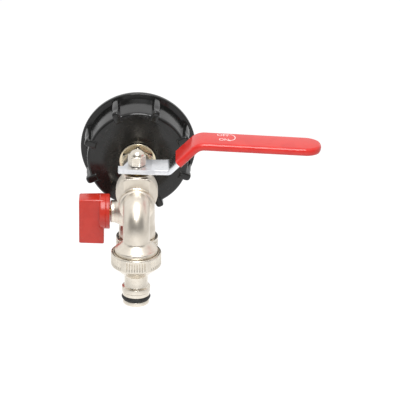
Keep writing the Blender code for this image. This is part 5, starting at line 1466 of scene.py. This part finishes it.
# Nickel plate over a blasted casting: soft and warm, with a fine orange peel and streaks down the spout
CAST_NICKEL = coat(
    "nickel plated casting", ((0.75, 0.685, 0.59), (0.79, 0.725, 0.63)), (0.32, 0.4), (0.28, 2.6, 2.2, 0.008),
    (7, 0.5), (0.05, 1.5, 0.5, (0.84, 0.79, 0.71)), lines=((1, 1, 0.07), 1900.0, 0.02), metallic=1.0,
).material
THIN_NICKEL = nickel_turned("thin nickel over brass", "Y", (0.8, 0.7, 0.52), (0.83, 0.74, 0.56))
TURNED_NICKEL = nickel_turned("nickel plated turning", "Z", (0.72, 0.66, 0.57), (0.76, 0.705, 0.615))
BRASS_TONES = ((0.62, 0.41, 0.13), (0.72, 0.5, 0.2))
BRASS_Y = machined_brass("machined brass Y", "Y", *BRASS_TONES)
BRASS_Z = machined_brass("machined brass Z", "Z", *BRASS_TONES)
BRASS_X = machined_brass("machined brass X", "X", *BRASS_TONES)
# The packing gland's brass is painted far darker than the other brass: painted shade for the lever that hangs
# over it
GLAND_BRASS_PAINTED_SHADE = machined_brass("gland brass with painted shade", "Z", (0.2, 0.14, 0.055), (0.28, 0.2, 0.085))
ZINC = zinc_plate()
# Soft vinyl from a dip: glossy, with slow sags and a fine orange peel
VINYL = coat(
    "red dipped vinyl", ((0.69, 0.028, 0.022), (0.74, 0.036, 0.027)), (0.15, 0.22), (0.5, 9, 5.0, 0.006),
    (15, 0.3), (0.1, 4, 0.3, (0.8, 0.07, 0.05)),
).material
RED_PLASTIC = coat(
    "red moulded plastic", ((0.57, 0.032, 0.018), (0.61, 0.038, 0.022)), (0.17, 0.26), (0.3, 5, 1.5, 0.007),
    (9, 0.4), (0.08, 2, 0.4, (0.7, 0.09, 0.07)),
).material
INK = coat(
    "pale printed ink", ((0.9, 0.7, 0.68), (0.95, 0.82, 0.8)), (0.4, 0.55), (0.25, 1.2, 1.0, 0.006),
).material
STEEL = coat(
    "polished steel", ((0.7, 0.7, 0.69), (0.75, 0.75, 0.74)), (0.08, 0.16), (0.3, 3, 1.0, 0.002), (4, 0.5),
    metallic=1.0,
).material
SEAT_PLASTIC = coat(
    "white seat plastic", ((0.8, 0.8, 0.77), (0.86, 0.86, 0.84)), (0.35, 0.5),
    (0.25, 3, 1.0, 0.006), (4, 0.3),
).material

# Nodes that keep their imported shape
KEPT_NODES = {
    "main_ball": STEEL,
    "small_ball": STEEL,
    "main_seat_front": SEAT_PLASTIC,
    "main_seat_rear": SEAT_PLASTIC,
    "small_seat_upper": SEAT_PLASTIC,
    "small_seat_lower": SEAT_PLASTIC,
    "stem_packing": SEAT_PLASTIC,
    "seat_retainer": BRASS_Y,
    "main_stem": BRASS_Z,
    "small_stem": BRASS_X,
    "small_stem_o_ring": RUBBER,
    "hose_washer": RUBBER,
}


def dress_kept_nodes():
    for node, material in KEPT_NODES.items():
        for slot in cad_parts[node].material_slots:
            slot.material = material


def dress_cap():
    finished(make_cap(), CAP_PLASTIC, "tap", "cap", slot="black_plastic")
    gasket = flat_ring("flat_gasket", GASKET)
    finished(gasket, RUBBER, "tap", "cap_gasket", slot="black_rubber")
    seal = flat_ring("nut_seal", BACKNUT_SEAL)
    finished(seal, RUBBER, "tap", "backnut_seal", slot="black_rubber")
    finished(make_backnut(), BRASS_Y, "tap", "backnut", slot="brass")
    finished(make_inlet_connector(), THIN_NICKEL, "tap", "inlet_connector", slot="nickel_plating")


def dress_tap():
    finished(make_casting(), CAST_NICKEL, "tap", "valve_body", slot="nickel_plating")
    # the gland ring's brass carries painted shade from the lever above
    finished(make_gland(), GLAND_BRASS_PAINTED_SHADE, "tap", "packing_gland", slot="brass")
    finished(make_lower_outlet(), TURNED_NICKEL, "tap", "lower_outlet", slot="nickel_plating")
    finished(make_hose_connector(), TURNED_NICKEL, "tap", "hose_connector", slot="nickel_plating")
    finished(make_nipple_ring(), RUBBER, "tap", "nipple_o_ring", slot="black_rubber")


def dress_lever():
    line = lever_line()
    finished(make_lever(line), ZINC, "main_lever", "lever", slot="zinc_plating")
    finished(make_sleeve(line), VINYL, "main_lever", "lever_sleeve", slot="red_vinyl")
    finished(make_nut(), TURNED_NICKEL, "main_lever", "lever_nut", slot="nickel_plating")
    top = sleeve_top(line)
    prints = [make_word(*OFF_WORD, top), make_word(*ON_WORD, top), make_arrow(top)]
    for piece in prints:
        finished(piece, INK, "main_lever", slot="red_vinyl")


def dress_small_handle():
    finished(make_small_handle(), RED_PLASTIC, "side_handle", "small_handle", slot="red_plastic")
    finished(make_handle_screw(), ZINC, "side_handle", "handle_screw", slot="zinc_plating")


# Studio
FLOOR_HEIGHT = -0.36
FLOOR_REACH = 6.0
FLOOR_GLOW = 0.46  # what the camera and glossy surfaces see over the light that falls on it
FLOOR_GLOW_BESIDE = 0.16
FLOOR_GLOW_FADE = (0.3, 1.0)  # metres to each side between which the glow falls off
CAMERA_ELEVATION = math.radians(24)
CAMERA_AZIMUTH = math.radians(-0.5)
CAMERA_ROLL = math.radians(0.65)
CAMERA_DISTANCE = 2.2
CAMERA_AIM = Vector((39 * MM, -50 * MM, -15.5 * MM))
CAMERA_LENS = 319
SENSOR = 36
SOFTBOX_RADIANCE = 7.0
SOFTBOX_SIZE = (0.42, 0.8)
SOFTBOX_DISTANCE = 1.0
SOFTBOX_ELEVATION = math.radians(61)
ROOM_LIGHT = 0.62  # what the room gives to surfaces that aren't glossy
BACKDROP = 1.0  # what the camera and glossy surfaces see of it
DARK_ROOM = 0.25  # the unlit room behind the camera, seen in glossy surfaces
DARK_FROM_SIDE = (0.12, 0.45)  # how far forward a direction points where the dark sets in
DARK_TO_LAMP = (0.55, 0.8)  # how far up it points where the dark ends
CAMERA_CLIP = (0.05, 50)


def make_floor():
    bm = bmesh.new()
    bmesh.ops.create_grid(bm, x_segments=1, y_segments=1, size=FLOOR_REACH)
    bmesh.ops.translate(bm, vec=(0, 0, FLOOR_HEIGHT), verts=bm.verts)
    floor = piece_from("floor", bm)
    material = bpy.data.materials.new("pale floor")
    material.use_nodes = True
    tree = material.node_tree
    wiring = Wiring(tree)
    shader = tree.nodes["Principled BSDF"]
    shader.inputs["Base Color"].default_value = (0.8, 0.8, 0.8, 1)
    shader.inputs["Roughness"].default_value = 0.9
    shader.inputs["Specular IOR Level"].default_value = 0.0
    path = wiring.add("LightPath")
    seen = wiring.math("MAXIMUM", path.outputs["Is Camera Ray"], path.outputs["Is Glossy Ray"])
    parts = wiring.add("SeparateXYZ")
    wiring.feed(parts.inputs["Vector"], wiring.add("TexCoord").outputs["Object"])
    aside = wiring.math("ABSOLUTE", parts.outputs["X"])
    beside = wiring.ramp(aside, *FLOOR_GLOW_FADE, FLOOR_GLOW, FLOOR_GLOW_BESIDE)
    glow = wiring.add("Emission")
    wiring.feed(glow.inputs["Strength"], wiring.math("MULTIPLY", seen, beside))
    both = wiring.add("AddShader")
    tree.links.new(shader.outputs[0], both.inputs[0])
    tree.links.new(glow.outputs[0], both.inputs[1])
    below = wiring.add("MixShader")
    geometry = wiring.add("NewGeometry")
    wiring.feed(below.inputs[0], geometry.outputs["Backfacing"])
    tree.links.new(both.outputs[0], below.inputs[1])
    tree.links.new(wiring.add("BsdfTransparent").outputs[0], below.inputs[2])
    tree.links.new(below.outputs[0], tree.nodes["Material Output"].inputs["Surface"])
    floor.data.materials.append(material)


def make_room():
    """A pale room: white where the camera and glossy surfaces see it, but dark behind the camera."""
    world = bpy.data.worlds.new("pale room")
    world.use_nodes = True
    bpy.context.scene.world = world
    tree = world.node_tree
    wiring = Wiring(tree)
    background = tree.nodes["Background"]
    parts = wiring.add("SeparateXYZ")
    wiring.feed(parts.inputs["Vector"], wiring.add("TexCoord").outputs["Generated"])
    in_front = wiring.ramp(wiring.math("MULTIPLY", parts.outputs["Y"], -1.0), *DARK_FROM_SIDE)
    under_lamp = wiring.ramp(parts.outputs["Z"], *DARK_TO_LAMP, 1.0, 0.0)
    dark = wiring.math("MULTIPLY", in_front, under_lamp)
    glossy_level = wiring.math("MULTIPLY_ADD", dark, DARK_ROOM - BACKDROP, BACKDROP)
    path = wiring.add("LightPath")
    level = ROOM_LIGHT
    for ray, seen in (("Is Glossy Ray", glossy_level), ("Is Camera Ray", BACKDROP)):
        change = wiring.math("SUBTRACT", seen, level)
        level = wiring.math("MULTIPLY_ADD", path.outputs[ray], change, level)
    wiring.feed(background.inputs["Strength"], level)
    background.inputs["Color"].default_value = (1, 1, 1, 1)


def add_to_scene(name, data):
    thing = bpy.data.objects.new(name, data)
    bpy.context.scene.collection.objects.link(thing)
    thing.rotation_mode = "QUATERNION"
    return thing


def toward(azimuth, elevation):
    """The direction from the tap to something in front of it, with the azimuth counted to the right."""
    flat = math.cos(elevation)
    return Vector((math.sin(azimuth) * flat, -math.cos(azimuth) * flat, math.sin(elevation)))


def make_softbox():
    """A lamp that faces the tap. Its power gives the radiance that glossy surfaces show."""
    light = bpy.data.lights.new("softbox", "AREA")
    light.shape = "RECTANGLE"
    light.size, light.size_y = SOFTBOX_SIZE
    light.energy = SOFTBOX_RADIANCE * math.pi * SOFTBOX_SIZE[0] * SOFTBOX_SIZE[1]
    lamp = add_to_scene("softbox", light)
    away = toward(0.0, SOFTBOX_ELEVATION)
    lamp.location = CAMERA_AIM + away * SOFTBOX_DISTANCE
    lamp.rotation_quaternion = away.to_track_quat("Z", "Y")


def make_camera():
    camera = add_to_scene("camera", bpy.data.cameras.new("camera"))
    camera.data.lens = CAMERA_LENS
    camera.data.sensor_width = SENSOR
    back = toward(CAMERA_AZIMUTH, CAMERA_ELEVATION)
    camera.location = CAMERA_AIM + back * CAMERA_DISTANCE
    level = (-back).to_track_quat("-Z", "Y")
    camera.rotation_quaternion = level @ Quaternion((0, 0, 1), CAMERA_ROLL)
    camera.data.clip_start, camera.data.clip_end = CAMERA_CLIP
    bpy.context.scene.camera = camera


make_camera()
dress_kept_nodes()
dress_cap()
dress_tap()
dress_lever()
dress_small_handle()
make_floor()
make_room()
make_softbox()
bpy.context.scene.view_settings.view_transform = "Standard"
